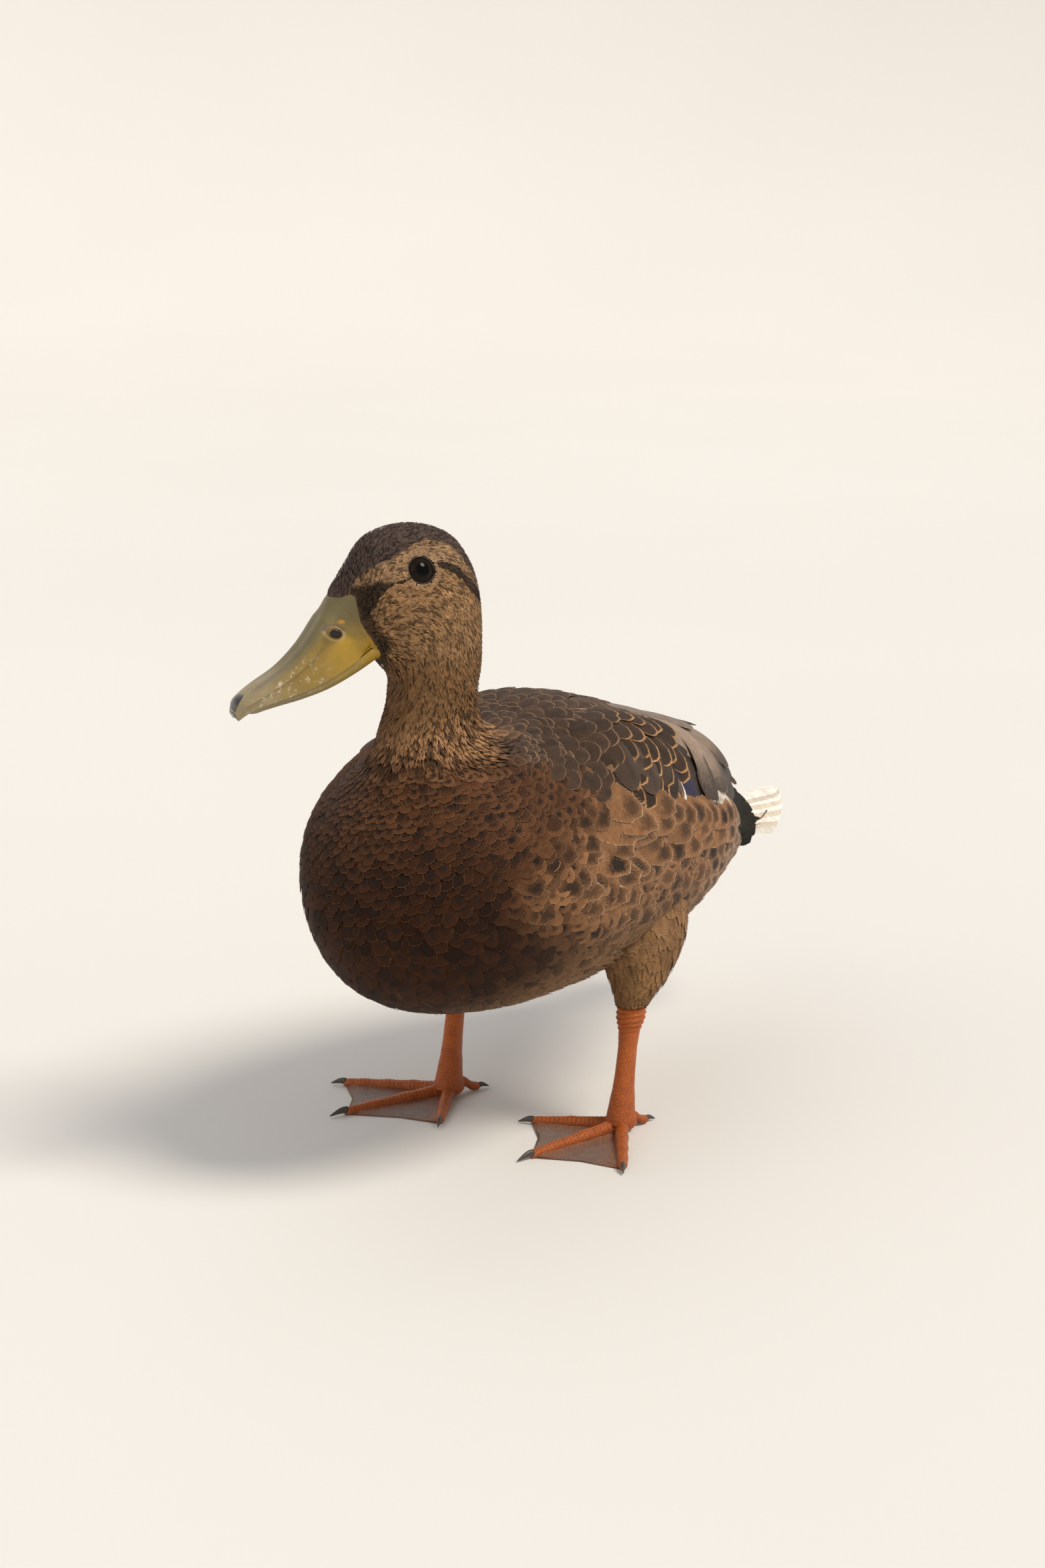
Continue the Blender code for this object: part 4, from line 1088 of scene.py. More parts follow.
def plumage(name, spot_at, spot_size, spot_colour, barbs=1.0, sheen=0.03, roughness=0.72, streak=0.25,
            soft=0.25, ragged=0.5):
    """Feather finish: the tint with a dark spot or shaft streak, a pale frayed rim, and barbs in relief."""
    made, tree, shader = finish(name, roughness, specular=0.12, sheen=sheen)

    def times(*values, clamp=False):
        return sums(tree, "MULTIPLY", *values, clamp=clamp)

    def plus(first, noisy, amount):
        """A value moved up and down by up to half of amount, with a noise."""
        return sums(tree, "ADD", first, times(sums(tree, "SUBTRACT", noisy, 0.5), amount))

    def drawn(along, across):
        """Noise drawn out into lines along the barbs or across them."""
        return add(tree, "CombineXYZ", {0: along, 1: across}).outputs[0]

    tint, rim, edge = attribute(tree, "tint"), attribute(tree, "rim_tint"), attribute(tree, "edge")["Fac"]
    vane, barb = (
        add(tree, "SeparateXYZ", {0: add(tree, "UVMap", uv_map=chart_name).outputs[0]}).outputs
        for chart_name in ("Vane", "Barbs")
    )
    off_shaft = sums(tree, "ABSOLUTE", sums(tree, "SUBTRACT", times(vane[0], 2.0), 1.0))
    slant = sums(tree, "SUBTRACT", barb[1], times(off_shaft, 3.0))
    hair = noise(tree, 1.0, 3.0, over=drawn(times(slant, 3.2 * barbs), times(barb[0], 0.45)))
    fringe = noise(tree, 1.0, 2.0, over=drawn(times(barb[0], 3.0 * barbs), times(barb[1], 0.5)))
    q_across = sums(tree, "DIVIDE", off_shaft, spot_size[0])
    q_along = sums(tree, "DIVIDE", sums(tree, "SUBTRACT", vane[1], spot_at), spot_size[1])
    q = sums(tree, "SQRT", sums(tree, "ADD", times(q_across, q_across), times(q_along, q_along)))
    q = plus(plus(q, hair, 0.8), fringe, 0.9)
    fade = {0: q, 1: 1.15, 2: 1.15 - 2 * soft, 3: 0.0, 4: 1.0}
    inside = add(tree, "MapRange", fade, interpolation_type="SMOOTHSTEP").outputs[0]
    colour = mix(tree, times(inside, tint["Alpha"], clamp=True), tint["Color"], spot_colour)
    worn = sums(tree, "DIVIDE", plus(edge, fringe, ragged), rim["Alpha"], clamp=True)
    near_edge = times(sums(tree, "SUBTRACT", 1.0, worn, clamp=True), 1.6, clamp=True)
    colour = mix(tree, near_edge, colour, rim["Color"])
    streaks = add(tree, "MapRange", {0: hair, 1: 0.25, 2: 0.75, 3: 1 - streak, 4: 1 + streak}).outputs[0]
    blots = add(tree, "MapRange", {0: noise(tree, 240.0, 3.0), 1: 0.3, 2: 0.7, 3: 0.84, 4: 1.14}).outputs[0]
    shade = times(streaks, blots)
    grey = add(tree, "CombineColor", {0: shade, 1: shade, 2: shade}).outputs[0]
    dress(tree, shader, mix(tree, 1.0, colour, grey, "MULTIPLY"), hair, 0.3, 0.00022)
    return made


# Head: thousands of split tufts two to four millimetres long that flow back from the bill, with dark
# shafts. Round each eye a ring of tiny pale feathers follows the lids.
EYE_BARE = 6.1  # the crown and cheek feathers start this far from the eye's axis
head_finish = plumage("head_feathers", 0.5, (0.42, 0.75), (0.026, 0.016, 0.011, 1), barbs=1.6,
                      streak=0.22, soft=0.4)
t, around = tract(0.02, 7.3, 0.0, math.pi, 1.12, 0.95, reference=0.6, thin=True, jitter=0.9)[:2]
EDGE_ROWS = (0.0, 0.05, 0.11, 0.18)  # stations behind the bill's root, of four close rows round it
EDGE_COUNT = 260
edge_a = np.repeat(np.linspace(-math.pi, math.pi, EDGE_COUNT, endpoint=False), len(EDGE_ROWS))
edge_a = edge_a + rng.uniform(-0.01, 0.01, len(edge_a))
edge_t = look_up(off_back(edge_a), BILL_LINE) + np.tile(EDGE_ROWS, EDGE_COUNT)
t, around = np.concatenate([t, edge_t]), np.concatenate([around, edge_a])
forward, aside, up = unturned(t, around)
away = np.stack([forward, np.abs(aside), up], axis=-1) - EYE_BALL
off_eye = np.linalg.norm(np.cross(away, EYE_OUT), axis=-1)
off_eye = np.where(away @ EYE_OUT > 0, off_eye, 99.0)
clear = (t > look_up(off_back(around), BILL_LINE) - 0.02) & (off_eye > EYE_BARE)
t, around, off_eye, forward = kept(clear, t, around, off_eye, forward)
long = np.interp(t, (0, 2, 7), (2.0, 3.0, 4.4)) * rng.uniform(0.8, 1.25, len(t))
before_eye = np.clip(off_eye - EYE_BARE + 0.4, 0.5, 9) + 9 * ramp(EYE[0] - forward, -4, 2)
long = np.minimum(long, before_eye)
tint, rim, spot, _ = markings(t, around)
tint = tint * np.where(rng.uniform(0, 1, len(t)) < 0.5 * spot, 0.42, 1.20)[:, None]
for part, chosen in (("face", t < 2.4), ("crown", (t >= 2.4) & (t < 4.6)), ("nape", t >= 4.6)):
    place_t, place_a, size = kept(chosen, t, around, long)
    rise = np.interp(place_t, (0, 7), (0.0, 0.25)) + rng.uniform(-0.12, 0.16, len(size))
    vanes(f"{part}_feathers", outline, place_t, place_a, size, size * 0.22, rise, head_finish,
          lie=rng.normal(0, 0.10, len(size)), depth=-0.8, arch=0.1, rows=3, columns=5, blunt=0.35, root=0.5,
          split=0.34, fray=0.12,
          colours=(tint[chosen], rim[chosen], spot[chosen] * 0.9, 0.02))

grid_t, grid_a = grid(np.linspace(0.3, 4.2, 300), np.linspace(0.35, 2.2, 300))  # the head round an eye
RING_ROWS = ((5.85, 46, 1.0), (6.5, 52, 1.3), (7.2, 56, 1.6))  # distance from the eye's axis, count, length
for side, sign in SIDES.items():
    found = []
    spots = outline(grid_t, sign * grid_a).reshape(-1, 3)
    for distance, count, size in RING_ROWS:
        turn = np.arange(count) / count * 2 * math.pi + rng.uniform(-0.05, 0.05, count)
        rim_line = np.stack([np.cos(turn), np.sin(turn), 0 * turn], axis=-1)
        wanted = facing(side, rim_line * distance + np.array([0, 0, 4.0]))
        nearest = np.linalg.norm(spots - wanted[:, None], axis=-1).argmin(axis=1)
        place_t, place_a = grid_t.ravel()[nearest], sign * grid_a.ravel()[nearest]
        # Each lies along the lid, back from its front corner, leaning outwards a little
        back = turn + np.where(np.sin(turn) > 0, 1, -1) * (math.pi / 2 - 0.5)
        heading = np.stack([np.cos(back), np.sin(back), 0 * back], axis=-1)
        heading = facing(side, heading) - facing(side, np.zeros((count, 3)))
        (ahead_t, ahead_a), _ = laid(outline, place_t, place_a, shaft=heading)
        (flat_t, flat_a), (wide_t, wide_a) = laid(outline, place_t, place_a, lie=0 * turn)
        det = flat_t * wide_a - flat_a * wide_t
        x_part = (ahead_a * flat_t - ahead_t * flat_a) / det
        y_part = (ahead_t * wide_a - ahead_a * wide_t) / det
        lie = np.arctan2(x_part, y_part)
        pale = ramp(np.abs(np.sin(turn)) + 0.9 * (np.cos(turn) < -0.2), 0.35, 0.8)
        pale = pale * (distance < RING_ROWS[-1][0])  # the outermost row has the head's own colours
        found.append(np.stack([place_t, place_a, lie, np.full(count, size), pale], axis=-1))
    place_t, place_a, lie, size, pale = np.concatenate(found).T
    tint, rim, spot, _ = markings(place_t, place_a)
    tint = between(tint, (0.40, 0.26, 0.15), (0.8 * pale)[:, None])
    vanes(f"eye_ring_{side}", outline, place_t, place_a, size, size * 0.36, 0.15, head_finish, lie=lie,
          depth=-0.3, arch=0.08, rows=3, columns=5, blunt=0.4, root=0.5, split=0.2,
          colours=(tint, rim, spot * 0.15, 0.02))

# Neck: finer and longer tufts than the head's, light and dark ones side by side so that they lie in soft
# streaks. They are rooted in the skin and end over the breast's first row.
neck_finish = plumage("neck_feathers", 0.62, (0.38, 0.46), (0.040, 0.022, 0.013, 1), barbs=1.2,
                      streak=0.22, soft=0.4)
t, around = tract(7.0, 10.4, 0.0, math.pi, ((7, 1.4), (10, 1.9)), ((7, 1.15), (10, 1.6)), reference=2.4,
                  thin=True, jitter=0.8)[:2]
t, around = kept(t < look_up(off_back(around), NECK_END) + 0.3, t, around)
n = len(t)
long = np.interp(t, (7, 8, 10), (4.6, 4.2, 3.6)) * rng.uniform(0.8, 1.25, n)
tint, rim, spot, _ = markings(t, around)
rise, lie = 0.05 + rng.uniform(-0.12, 0.18, n), rng.normal(0, 0.09, n)
tint = tint * np.where(rng.uniform(0, 1, n) < 0.42, 0.34, 1.30)[:, None]
vanes("neck_feathers", outline, t, around, long, long * 0.20, rise, neck_finish, lie=lie, arch=0.12,
      rows=4, columns=5, blunt=0.35, root=0.5, split=0.3, fray=0.12,
      colours=(tint, rim, spot, 0.02))

# Breast and keel: small rounded feathers in even rows, rusty brown with a black spot and a thin broken
# pale rim. Each lies over the roots of the next row, and the rims fade towards the flank.
breast_finish = plumage("breast_feathers", 0.66, (0.62, 0.17), (0.014, 0.009, 0.007, 1), streak=0.3,
                        soft=0.42, ragged=0.6)
BREAST_STEP = ((7.6, 1.9), (9, 2.8), (10.5, 3.5), (12, 4.6), (14, 6))
BREAST_PITCH = ((7.6, 2.4), (9, 4.0), (10.5, 5.0), (12, 5.5), (14, 6))
t, around, local, width = tract(7.6, 14.2, math.radians(30), math.pi, BREAST_STEP, BREAST_PITCH,
                                reference=2.3, jitter=0.2)
clear = (np.abs(around) > np.radians(np.interp(t, (9.9, 11.5, 12.2), (31, 52, 96)))) | (t < 11.6)
clear &= t > look_up(off_back(around), NECK_END) + 0.05
t, around, local, width = kept(clear, t, around, local, width)
n = len(t)
tint, rim, spot, rim_width = markings(t, around)
rear = ramp(t, 10.8, 12.0)
tint = tint * np.where(rng.uniform(0, 1, n) < 0.25, 0.62, 1.10)[:, None]
spot = spot * np.where(rng.uniform(0, 1, n) < 0.3, 0.25, 1.0)
rim = between(rim, tint * 1.3, 0.75 * rear[:, None])
long = np.maximum(local, 2.6) * 2.9 * rng.uniform(0.9, 1.15, n)
rise, lie = 0.1 + 0.3 * rear + rng.uniform(-0.12, 0.12, n), rng.normal(0, 0.05, n)
vanes("breast_feathers", outline, t, around, long, width * 0.76, rise, breast_finish, lie=lie, depth=-1.6,
      arch=0.10, rows=6, columns=7, blunt=0.35, fray=0.04, split=0.04, hairs=10, hair=(1.2, 0.12),
      colours=(tint, rim, spot, rim_width))

# Belly, vent and thighs: longer, softer feathers than the breast's, buff brown with dark streaks and many
# loose barb ends. They close over the tops of the legs.
belly_finish = plumage("belly_feathers", 0.62, (0.30, 0.42), (0.055, 0.032, 0.018, 1), streak=0.34,
                       soft=0.4, ragged=0.6)
BELLY_STEP, BELLY_PITCH = ((12, 6), (15, 7), (18, 6), (20, 4.5)), ((12, 5.5), (16, 5.5), (20, 4.2))
t, around, local, width = tract(12.4, 19.6, math.radians(88), math.pi, BELLY_STEP, BELLY_PITCH,
                                reference=2.4, jitter=0.6)
clear = (t > 14.0) | (np.abs(around) > np.radians(np.interp(t, (12.4, 14.2), (150, 100))))
clear &= (t < 17.0) | (np.abs(around) > math.radians(114))
t, around, local, width = kept(clear, t, around, local, width)
n = len(t)
long = np.maximum(local, 5) * 2.5 * rng.uniform(0.85, 1.15, n)
rise, lie = 0.2 + rng.uniform(-0.25, 0.4, n), rng.normal(0, 0.12, n)
vanes("belly_feathers", outline, t, around, long, width * 0.7, rise, belly_finish, lie=lie, depth=-2.4,
      arch=0.25, rows=7, columns=7, blunt=0.4, fray=0.1, split=0.12, hairs=12, hair=(1.6, 0.16))

THIGH_TINT, THIGH_RIM = (0.225, 0.118, 0.048), (0.32, 0.190, 0.098)
DRAPE_TINT, DRAPE_RIM = (0.235, 0.125, 0.060), (0.25, 0.152, 0.083)
THIGH_ROWS, THIGH_COUNT, DRAPE_ROWS, DRAPE_COUNT = 19, 28, 6, 15
for side in SIDES:
    def leg_coat(t, around, height, side=side):
        return thigh(side, np.clip(1 - t, 0, 1), around * -SIDES[side], height)

    n = THIGH_ROWS * THIGH_COUNT
    place, angle = grid(np.linspace(0.05, 0.985, THIGH_ROWS), circle(THIGH_COUNT))
    angle = angle + (np.arange(THIGH_ROWS)[:, None] % 2) * math.pi / THIGH_COUNT
    place, angle = place.ravel() + rng.uniform(-0.02, 0.02, n), angle.ravel() + rng.uniform(-0.09, 0.09, n)
    long = np.interp(place, (0.1, 0.6, 1.0), (17, 12, 5.5)) * rng.uniform(0.85, 1.15, n)
    long = np.minimum(long, (1.02 - place) * 60 + 4.5)
    half = np.interp(place, (0.1, 1.0), (4.2, 1.6))
    rise = np.interp(place, (0, 1), (0.3, 0.1)) + rng.uniform(-0.2, 0.3, n)
    vanes(f"thigh_feathers_{side}", leg_coat, place, angle, long, half, rise, belly_finish,
          lie=rng.normal(0, 0.10, n), depth=-1.2, arch=0.06, rows=6, columns=7, blunt=0.4, fray=0.06,
          split=0.08, hairs=12, hair=(1.6, 0.12),
          colours=(np.tile(THIGH_TINT, (n, 1)), np.tile(THIGH_RIM, (n, 1)), np.full(n, 0.7), 0.3))

    # Longer feathers hang from the flank over the thigh's top
    n = DRAPE_ROWS * DRAPE_COUNT
    place, angle = grid(np.linspace(0.0, 0.5, DRAPE_ROWS), np.linspace(-2.4, 2.4, DRAPE_COUNT))
    angle = angle + (np.arange(DRAPE_ROWS)[:, None] % 2) * 0.17 + math.pi / 2
    place = np.maximum(place.ravel() + rng.uniform(-0.03, 0.03, n), STEP)
    angle = -SIDES[side] * (angle.ravel() + rng.uniform(-0.08, 0.08, n))
    tint = between(THIGH_TINT, DRAPE_TINT, (1 - ramp(place, 0.0, 0.5))[:, None])
    long, rise = rng.uniform(20, 27, n), rng.uniform(0.4, 0.9, n)
    vanes(f"thigh_drape_{side}", leg_coat, place, angle, long, 6.0, rise, belly_finish,
          lie=rng.normal(0, 0.10, n), depth=-1.6, arch=0.1, rows=9, columns=11, blunt=0.35, fray=0.08,
          split=0.1, hairs=22, hair=(1.8, 0.15),
          colours=(tint, np.tile(DRAPE_RIM, (n, 1)), np.full(n, 0.4), 0.3))


# Folded wings: bone and long stiff feathers, held shut against the trunk with the flank's feathers over
# their lower edge. Here they are a swelling of the outline that lifts off the rump at its rear end.
WING_FRONT, WING_REAR_LOW, WING_REAR_HIGH = 11.6, 16.2, 17.2
WING_TOP = ((0.0, 34), (0.3, 22), (1.0, 6))  # (share of its length, degrees from the back line)
WING_LOW = ((0.0, 44), (0.25, 61), (1.0, 65))
WING_DEPTH, WING_LIFT = 4.6, 10


def wing_height(t, around):
    """How far the folded wing stands off the trunk: a swelling, and a lift towards its upper rear end."""
    angle = off_back(around)
    rear = between(WING_REAR_HIGH, WING_REAR_LOW, np.clip((angle - 6) / 59, 0, 1))
    u = np.clip((t - WING_FRONT) / (rear - WING_FRONT), 0, 1.25)
    top, bottom = (look_up(u, edge) for edge in (WING_TOP, WING_LOW))
    share = (angle - top) / (bottom - top)
    v = np.clip(2 * share - 1, -1.25, 1.25)
    ends = (1 - np.clip(u, 0, 1) ** 3) * np.clip(u / 0.2, 0, 1) ** 0.7
    thick = np.clip(1 - v**2, 0, 1) * ends * WING_DEPTH
    upper = np.clip(1 - share, 0, 1.1) ** 1.6 * ramp(angle, 0, 7)
    lift = WING_LIFT * np.clip((u - 0.6) / 0.4, 0, 1.4) ** 1.5 * upper
    plain = 0.5 * ramp(u, 0.0, 0.15) * ramp(angle, 2, 16) * (1 - ramp(angle, bottom + 2, bottom + 10))
    return thick + lift + plain


def wing_coat(t, around, height=0.0):
    """The plumage's outline with the folded wings on it."""
    return outline(t, around, wing_height(np.clip(t, 0, LAST), around) + height)


# Flanks: big soft feathers, orange brown with a black drop and a hairy whitish rim. The upper rows stand
# off the body to lie over the wing's lower edge.
flank_finish = plumage("flank_feathers", 0.80, (0.72, 0.19), (0.022, 0.014, 0.010, 1), barbs=0.9,
                       streak=0.36, soft=0.42, ragged=0.5)
FLANK_STEP, FLANK_PITCH = ((11.3, 6), (12.3, 11), (14, 13), (17, 10)), ((11.3, 6.5), (12.3, 10), (17, 9.5))
t, around, local, width = tract(11.3, 17.4, math.radians(64), math.radians(110), FLANK_STEP, FLANK_PITCH,
                                reference=1.3, jitter=0.28)
n = len(t)
upper_row = (1 - ramp(off_back(around), 68, 84)) * (1 - ramp(t, 15.2, 16.2)) * ramp(t, 11.3, 12.4)
long = np.maximum(local, 5) * 2.7 * rng.uniform(0.9, 1.1, n)
half = width * 0.80 * rng.uniform(0.9, 1.1, n)
rise = 0.4 + 2.6 * upper_row + rng.uniform(-0.15, 0.2, n)
lie = np.sign(around) * 0.10 + rng.normal(0, 0.07, n)
vanes("flank_feathers", outline, t, around, long, half, rise, flank_finish, lie=lie,
      depth=-2.2 + 1.6 * upper_row, arch=0.3, rows=12, columns=11, blunt=0.42, fray=0.05, split=0.04,
      hairs=48, hair=(1.7, 0.11))

# Mantle: dark brown feathers with thin buff edges, in rows down the back from the neck to the rump. Their
# tips lie on the scapulars on either side.
back_finish = plumage("back_feathers", 0.6, (0.5, 0.5), (0.020, 0.013, 0.010, 1), barbs=0.9, streak=0.3,
                      sheen=0.02, roughness=0.75, soft=0.4, ragged=0.4)
MANTLE_STEP, MANTLE_PITCH = ((9.5, 4.2), (12, 7), (17, 8.5)), ((9.5, 4.6), (12, 7), (17, 8.5))
t, around, local, width = tract(9.2, 16.9, 0.0, math.radians(30), MANTLE_STEP, MANTLE_PITCH, reference=0.3,
                                jitter=0.4, surface=wing_coat)
clear = np.abs(around) < np.radians(np.interp(t, (9.2, 11.5, 13), (60, 40, 26)))
t, around, local, width = kept(clear, t, around, local, width)
n = len(t)
rise, lie = 0.3 + rng.uniform(-0.15, 0.3, n), rng.normal(0, 0.08, n)
vanes("mantle_feathers", wing_coat, t, around, np.maximum(local, 4) * 2.3, width * 0.72, rise, back_finish,
      lie=lie, depth=-1.8, arch=0.3, rows=7, columns=7, blunt=0.5, fray=0.03, split=0.03, hairs=10,
      hair=(0.7, 0.14))

# Scapulars and wing coverts: blackish brown feathers with buff edges over the folded wing, larger towards
# the rear and turned down. They hide the roots of the long wing feathers.
SCAPULAR_STEP = ((11, 8), (12.5, 10), (14, 13), (16, 15))
SCAPULAR_PITCH = ((11, 5.5), (12.5, 7), (14, 9), (16, 11))
t, around, local, width = tract(10.6, 14.05, math.radians(24), math.radians(64), SCAPULAR_STEP,
                                SCAPULAR_PITCH, reference=0.8, jitter=0.35, surface=wing_coat)
n = len(t)
edge_share = ramp(t, 11.4, 13.0)[:, None]
tint = between((0.058, 0.034, 0.022), (0.042, 0.024, 0.015), edge_share)
rim = between((0.17, 0.103, 0.062), (0.42, 0.225, 0.100), edge_share)
rise = 0.5 + 0.9 * ramp(t, 11, 13) + rng.uniform(-0.15, 0.3, n)
lie = np.sign(around) * (0.15 + 0.55 * ramp(t, 11.0, 13.0)) + rng.normal(0, 0.06, n)
vanes("scapulars", wing_coat, t, around, np.maximum(local, 5) * 1.75, width * 0.95, rise, back_finish,
      lie=lie, depth=-1.4, arch=0.4, rows=10, columns=9, blunt=0.5, fray=0.02, split=0.02, hairs=14,
      hair=(0.6, 0.14),
      colours=(tint, rim, np.full(n, 0.3), np.interp(t, (11, 12.4, 14), (0.5, 0.95, 1.3))))


def lengths(surface, path):
    """The length of each path of (t, around) knots on a surface, in millimetres."""
    path = np.asarray(path, float)
    spots = surface(path[..., 0], path[..., 1], np.zeros(path.shape[:2]))
    return np.linalg.norm(np.diff(spots, axis=1), axis=-1).sum(axis=1)


def both_sides(paths):
    """Paths of (t, degrees) knots for the left side, with their mirror images on the right."""
    path = np.array(paths, float)
    path[..., 1] = np.radians(path[..., 1])
    return np.concatenate([path, path * (1, -1)])


# Long feathers of the folded wing, rooted in its bones: dark primaries low at the rear, broad pale tertials
# drooping over them, plain coverts in front, and a slip of the blue speculum behind a white bar. The last
# one is a white patch of the flank that shows under the wing's rear end.
quill_finish = plumage("flight_feathers", 0.55, (0.22, 0.6), (0.012, 0.009, 0.008, 1), barbs=0.7,
                       streak=0.16, sheen=0.02, roughness=0.55, soft=0.45, ragged=0.9)
tertial_finish = plumage("tertials", 1.05, (2.4, 0.38), (0.020, 0.013, 0.010, 1), barbs=0.7, streak=0.13,
                         sheen=0.02, roughness=0.6, soft=0.42, ragged=0.2)
# Path from root to tip, half width, rise at the tip, tint, rim tint, rim width, whether its tip is darker
LONG_FEATHERS = (
    (((14.2, 54), (15.0, 56), (15.7, 56), (16.3, 54)),
     8.5, 0.0, (0.045, 0.033, 0.026), (0.10, 0.075, 0.055), 0.3, 0),
    (((14.2, 42), (15.1, 43), (15.9, 40), (16.6, 34)),
     8.5, 0.3, (0.045, 0.033, 0.026), (0.10, 0.075, 0.055), 0.3, 0),
    (((14.0, 22), (14.9, 26), (15.6, 32), (16.1, 42)),
     11.0, 1.1, (0.235, 0.170, 0.126), (0.36, 0.27, 0.21), 0.35, 1),
    (((13.9, 30), (14.7, 37), (15.3, 46), (15.75, 58)),
     12.0, 0.9, (0.255, 0.185, 0.138), (0.40, 0.30, 0.235), 0.4, 1),
    (((14.0, 16), (14.9, 17), (15.4, 18), (15.75, 20)),
     3.4, 2.0, (0.016, 0.014, 0.013), (0.03, 0.027, 0.024), 0.3, 0),
    (((13.8, 11), (14.7, 11), (15.4, 11)),
     7.0, 0.6, (0.11, 0.08, 0.062), (0.20, 0.145, 0.11), 0.3, 0),
    (((13.8, 20), (14.45, 25), (14.8, 36), (14.85, 50), (15.35, 66)),
     12.5, 1.4, (0.27, 0.195, 0.146), (0.40, 0.30, 0.235), 0.4, 1),
    (((13.5, 18), (14.2, 19), (14.75, 23), (15.2, 28)),
     8.0, 1.9, (0.19, 0.138, 0.107), (0.34, 0.255, 0.195), 0.35, 0),
    (((13.3, 46), (14.0, 53), (14.85, 66)),
     9.0, 0.1, (0.022, 0.019, 0.052), (0.02, 0.018, 0.035), 0.5, 0),
    (((13.3, 48), (13.9, 55), (14.45, 64)),
     6.5, 0.5, (0.11, 0.07, 0.05), (0.82, 0.76, 0.68), 2.2, 0),
    (((13.2, 44), (13.6, 51), (13.95, 57), (14.2, 63)),
     11.0, 0.9, (0.060, 0.038, 0.027), (0.12, 0.078, 0.055), 0.4, 1),
    (((12.7, 44), (13.1, 51), (13.5, 57), (13.7, 63)),
     11.0, 1.3, (0.066, 0.042, 0.030), (0.13, 0.085, 0.060), 0.4, 0),
    (((12.3, 47), (12.65, 52), (12.95, 57), (13.2, 63)),
     10.0, 1.5, (0.062, 0.039, 0.027), (0.13, 0.083, 0.055), 0.5, 0),
    (((15.0, 59), (15.5, 63), (15.95, 66.5)),
     5.0, 0.9, (0.60, 0.52, 0.45), (0.70, 0.62, 0.55), 0.4, 0),
)
for number, (route, wide, rise, tint, rim, rim_width, darkens) in enumerate(LONG_FEATHERS):
    path = both_sides([route])
    shades = (np.tile(tint, (2, 1)), np.tile(rim, (2, 1)), np.full(2, 0.85 if darkens else 0.4), rim_width)
    vanes(f"wing_feather_{number}", wing_coat, path[:, 0, 0], path[:, 0, 1], lengths(wing_coat, path),
          wide, rise, tertial_finish if darkens else quill_finish, depth=-0.6, arch=0.9, rows=34,
          columns=23, blunt=0.5, root=0.45, fray=0.012, split=0.008, thick=0.2, path=path, colours=shades)

# Rump and tail coverts: short black feathers that close over the tail's root and round its sides. Each is
# rooted in the skin of the back's end.
t, around, _, width = tract(15.2, 17.5, 0.0, math.radians(96), 4.5, 5.0, reference=0.3, jitter=0.4)
clear = np.abs(around) < np.radians(np.interp(t, (15.2, 16.2, 16.8, 17.8), (34, 52, 84, 96)))
t, around, width = kept(clear, t, around, width)
n = len(t)
rise = 0.4 + 4.0 * ramp(t, 16.2, 17.2) + rng.uniform(-0.2, 0.4, n)
long, lie = np.interp(t, (16.6, 17.4), (10.0, 6.5)), rng.normal(0, 0.08, n)
black, black_rim = (np.tile(COLOURS["rump"][i], (n, 1)) for i in (0, 1))
vanes("rump_feathers", outline, t, around, long, width * 0.75, rise, back_finish, lie=lie, depth=-1.6,
      arch=0.3, rows=6, columns=7, blunt=0.4, fray=0.06, split=0.1, hairs=10, hair=(1.2, 0.15),
      colours=(black, black_rim, np.full(n, 0.4), 0.3))

# Tail: nine pairs of broad cream feathers, stiff vanes rooted in the tail's stump. They spread in a shallow
# drooping fan with the middle ones on top.
TAIL_ROOT, TAIL_REACH = -166.0, -229.0  # forward
TAIL_TOP, TAIL_TIP = 106.0, 98.6  # up, at the root and at the end
TAIL_HALF, TAIL_PAIRS = 20, 9


def tail_fan(t, around, height=0.0):
    """A fan from the tail's root that droops towards its end and its sides; its outer feathers are shorter.

    t is the share of a feather's length, and around its place across the fan, from -1 to 1.
    """
    across = TAIL_HALF * around
    short = 0.5 * np.abs(across) + 0.08 * across**2
    forward = between(TAIL_ROOT, TAIL_REACH + short, t)
    droop = 0.022 * across**2 + (TAIL_TOP - TAIL_TIP - 0.004 * across**2) * t
    up = TAIL_TOP - droop - 0.6 * np.sin(math.pi * np.clip(t, 0, 1))
    return np.stack([across * (0.78 + 0.30 * t), -forward, up + height], axis=-1)


tail_finish = plumage("tail_feathers", 0.62, (0.30, 0.22), (0.36, 0.20, 0.10, 1), barbs=0.8, streak=0.07,
                      sheen=0.05, roughness=0.65, soft=0.45, ragged=0.2)
order = np.arange(TAIL_PAIRS)
count = 2 * TAIL_PAIRS
place = np.concatenate([(order + 0.5) / TAIL_PAIRS, -(order + 0.5) / TAIL_PAIRS])
layer = np.concatenate([order, order + 0.5]) * 0.26  # how far each lies under the top one
path = [np.stack([np.full(count, t), place * (0.9 + 0.1 * t)], axis=-1) for t in (0.05, 0.4, 0.75, 1.0)]
path = np.stack(path, axis=1)
tint = np.tile(between((0.68, 0.59, 0.48), (0.74, 0.69, 0.62), (order % 2 == 0)[:, None]), (2, 1))
vanes("tail_feathers", tail_fan, path[:, 0, 0], path[:, 0, 1], lengths(tail_fan, path), 6.6, 1.8 - layer,
      tail_finish, depth=1.0 - layer, arch=0.2, rows=26, columns=15, blunt=0.72, root=0.6, fray=0.008,
      thick=0.2, path=path,
      colours=(tint, np.tile((0.76, 0.71, 0.65), (count, 1)), np.full(count, 0.2), 0.5))

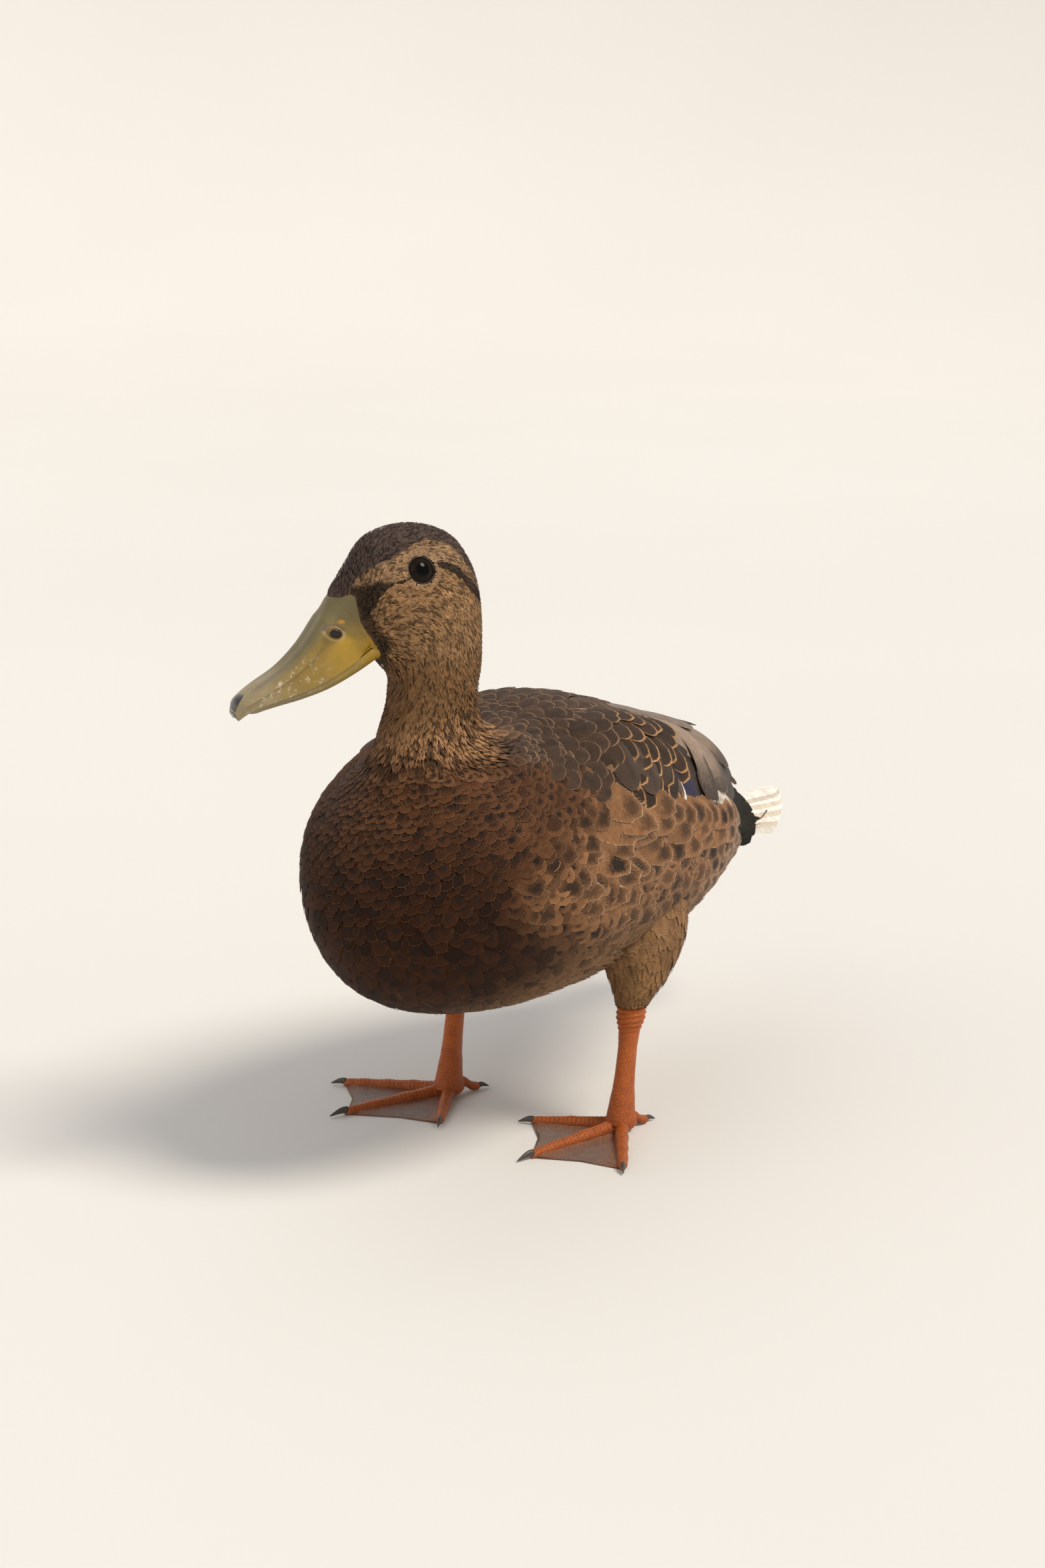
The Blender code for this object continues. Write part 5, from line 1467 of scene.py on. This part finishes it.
# The room: a pale painted floor that bends up far off on every side, three soft lamps, the sky's light and
# the camera. None of it belongs to the duck.
FLOOR_FLAT, FLOOR_BEND = 3200.0, 1500.0
angle = circle(96)[None, :]
flat = np.linspace(1.0, FLOOR_FLAT, 20)
bend = np.linspace(0, math.pi / 2, 20)[1:]
radius = np.concatenate([flat, FLOOR_FLAT + FLOOR_BEND * np.sin(bend)])[:, None]
height = np.concatenate([0 * flat, FLOOR_BEND * (1 - np.cos(bend))])[:, None]
rings = np.stack(np.broadcast_arrays(radius * np.cos(angle), radius * np.sin(angle), height), axis=-1)
floor_finish, tree, shader = finish("floor_paint", 0.85, specular=0.15)
dress(tree, shader, mix(tree, noise(tree, 1.3, 3.0), (0.70, 0.68, 0.65, 1), (0.76, 0.74, 0.71, 1)))
points, quads, fans = capped(rings - PLACE * (1, 1, 0))
floor = shape("floor", points, [quads, fans[: angle.size]], [floor_finish])
floor.parent = None

LAMPS = (  # where each shines from, how wide it looks, strength, colour
    ((1.4, 0.35, 1.9), 24, 2.5, (1.0, 0.94, 0.84)),
    ((-0.6, -1.9, 1.2), 60, 0.65, (1.0, 0.96, 0.90)),
    ((-1.2, 1.6, 1.8), 50, 0.45, (0.93, 0.96, 1.0)),
)
for number, (place, spread_angle, strength, colour) in enumerate(LAMPS):
    lamp = bpy.data.lights.new(f"lamp_{number}", "SUN")
    lamp.angle, lamp.energy, lamp.color = math.radians(spread_angle), strength, colour
    stand = bpy.data.objects.new(f"lamp_{number}", lamp)
    stand.location = place
    stand.rotation_euler = (-Vector(place)).to_track_quat("-Z", "Y").to_euler()
    bpy.context.scene.collection.objects.link(stand)
world = bpy.data.worlds.new("room")
world.use_nodes = True
sky = world.node_tree.nodes["Background"].inputs
sky["Color"].default_value = (0.96, 0.95, 0.96, 1)
sky["Strength"].default_value = 0.45
bpy.context.scene.world = world
bpy.context.scene.view_settings.view_transform = "Standard"

CAMERA_TURN, CAMERA_PITCH, CAMERA_AWAY = math.radians(32), math.radians(13.1), 1270.0
AIM = (8.4, -14.0, 150.2)
level = math.cos(CAMERA_PITCH)
back = np.array([math.sin(CAMERA_TURN) * level, -math.cos(CAMERA_TURN) * level, math.sin(CAMERA_PITCH)])
lens = bpy.data.cameras.new("camera")
lens.lens = 70.0
lens.sensor_width = 36.0
lens.clip_start = 0.05
lens.clip_end = 50.0
camera = bpy.data.objects.new("camera", lens)
camera.location = (np.array(AIM) + PLACE + back * CAMERA_AWAY) * MM
camera.rotation_euler = Vector(-back).to_track_quat("-Z", "Y").to_euler()
bpy.context.scene.collection.objects.link(camera)
bpy.context.scene.camera = camera

bpy.context.view_layer.update()
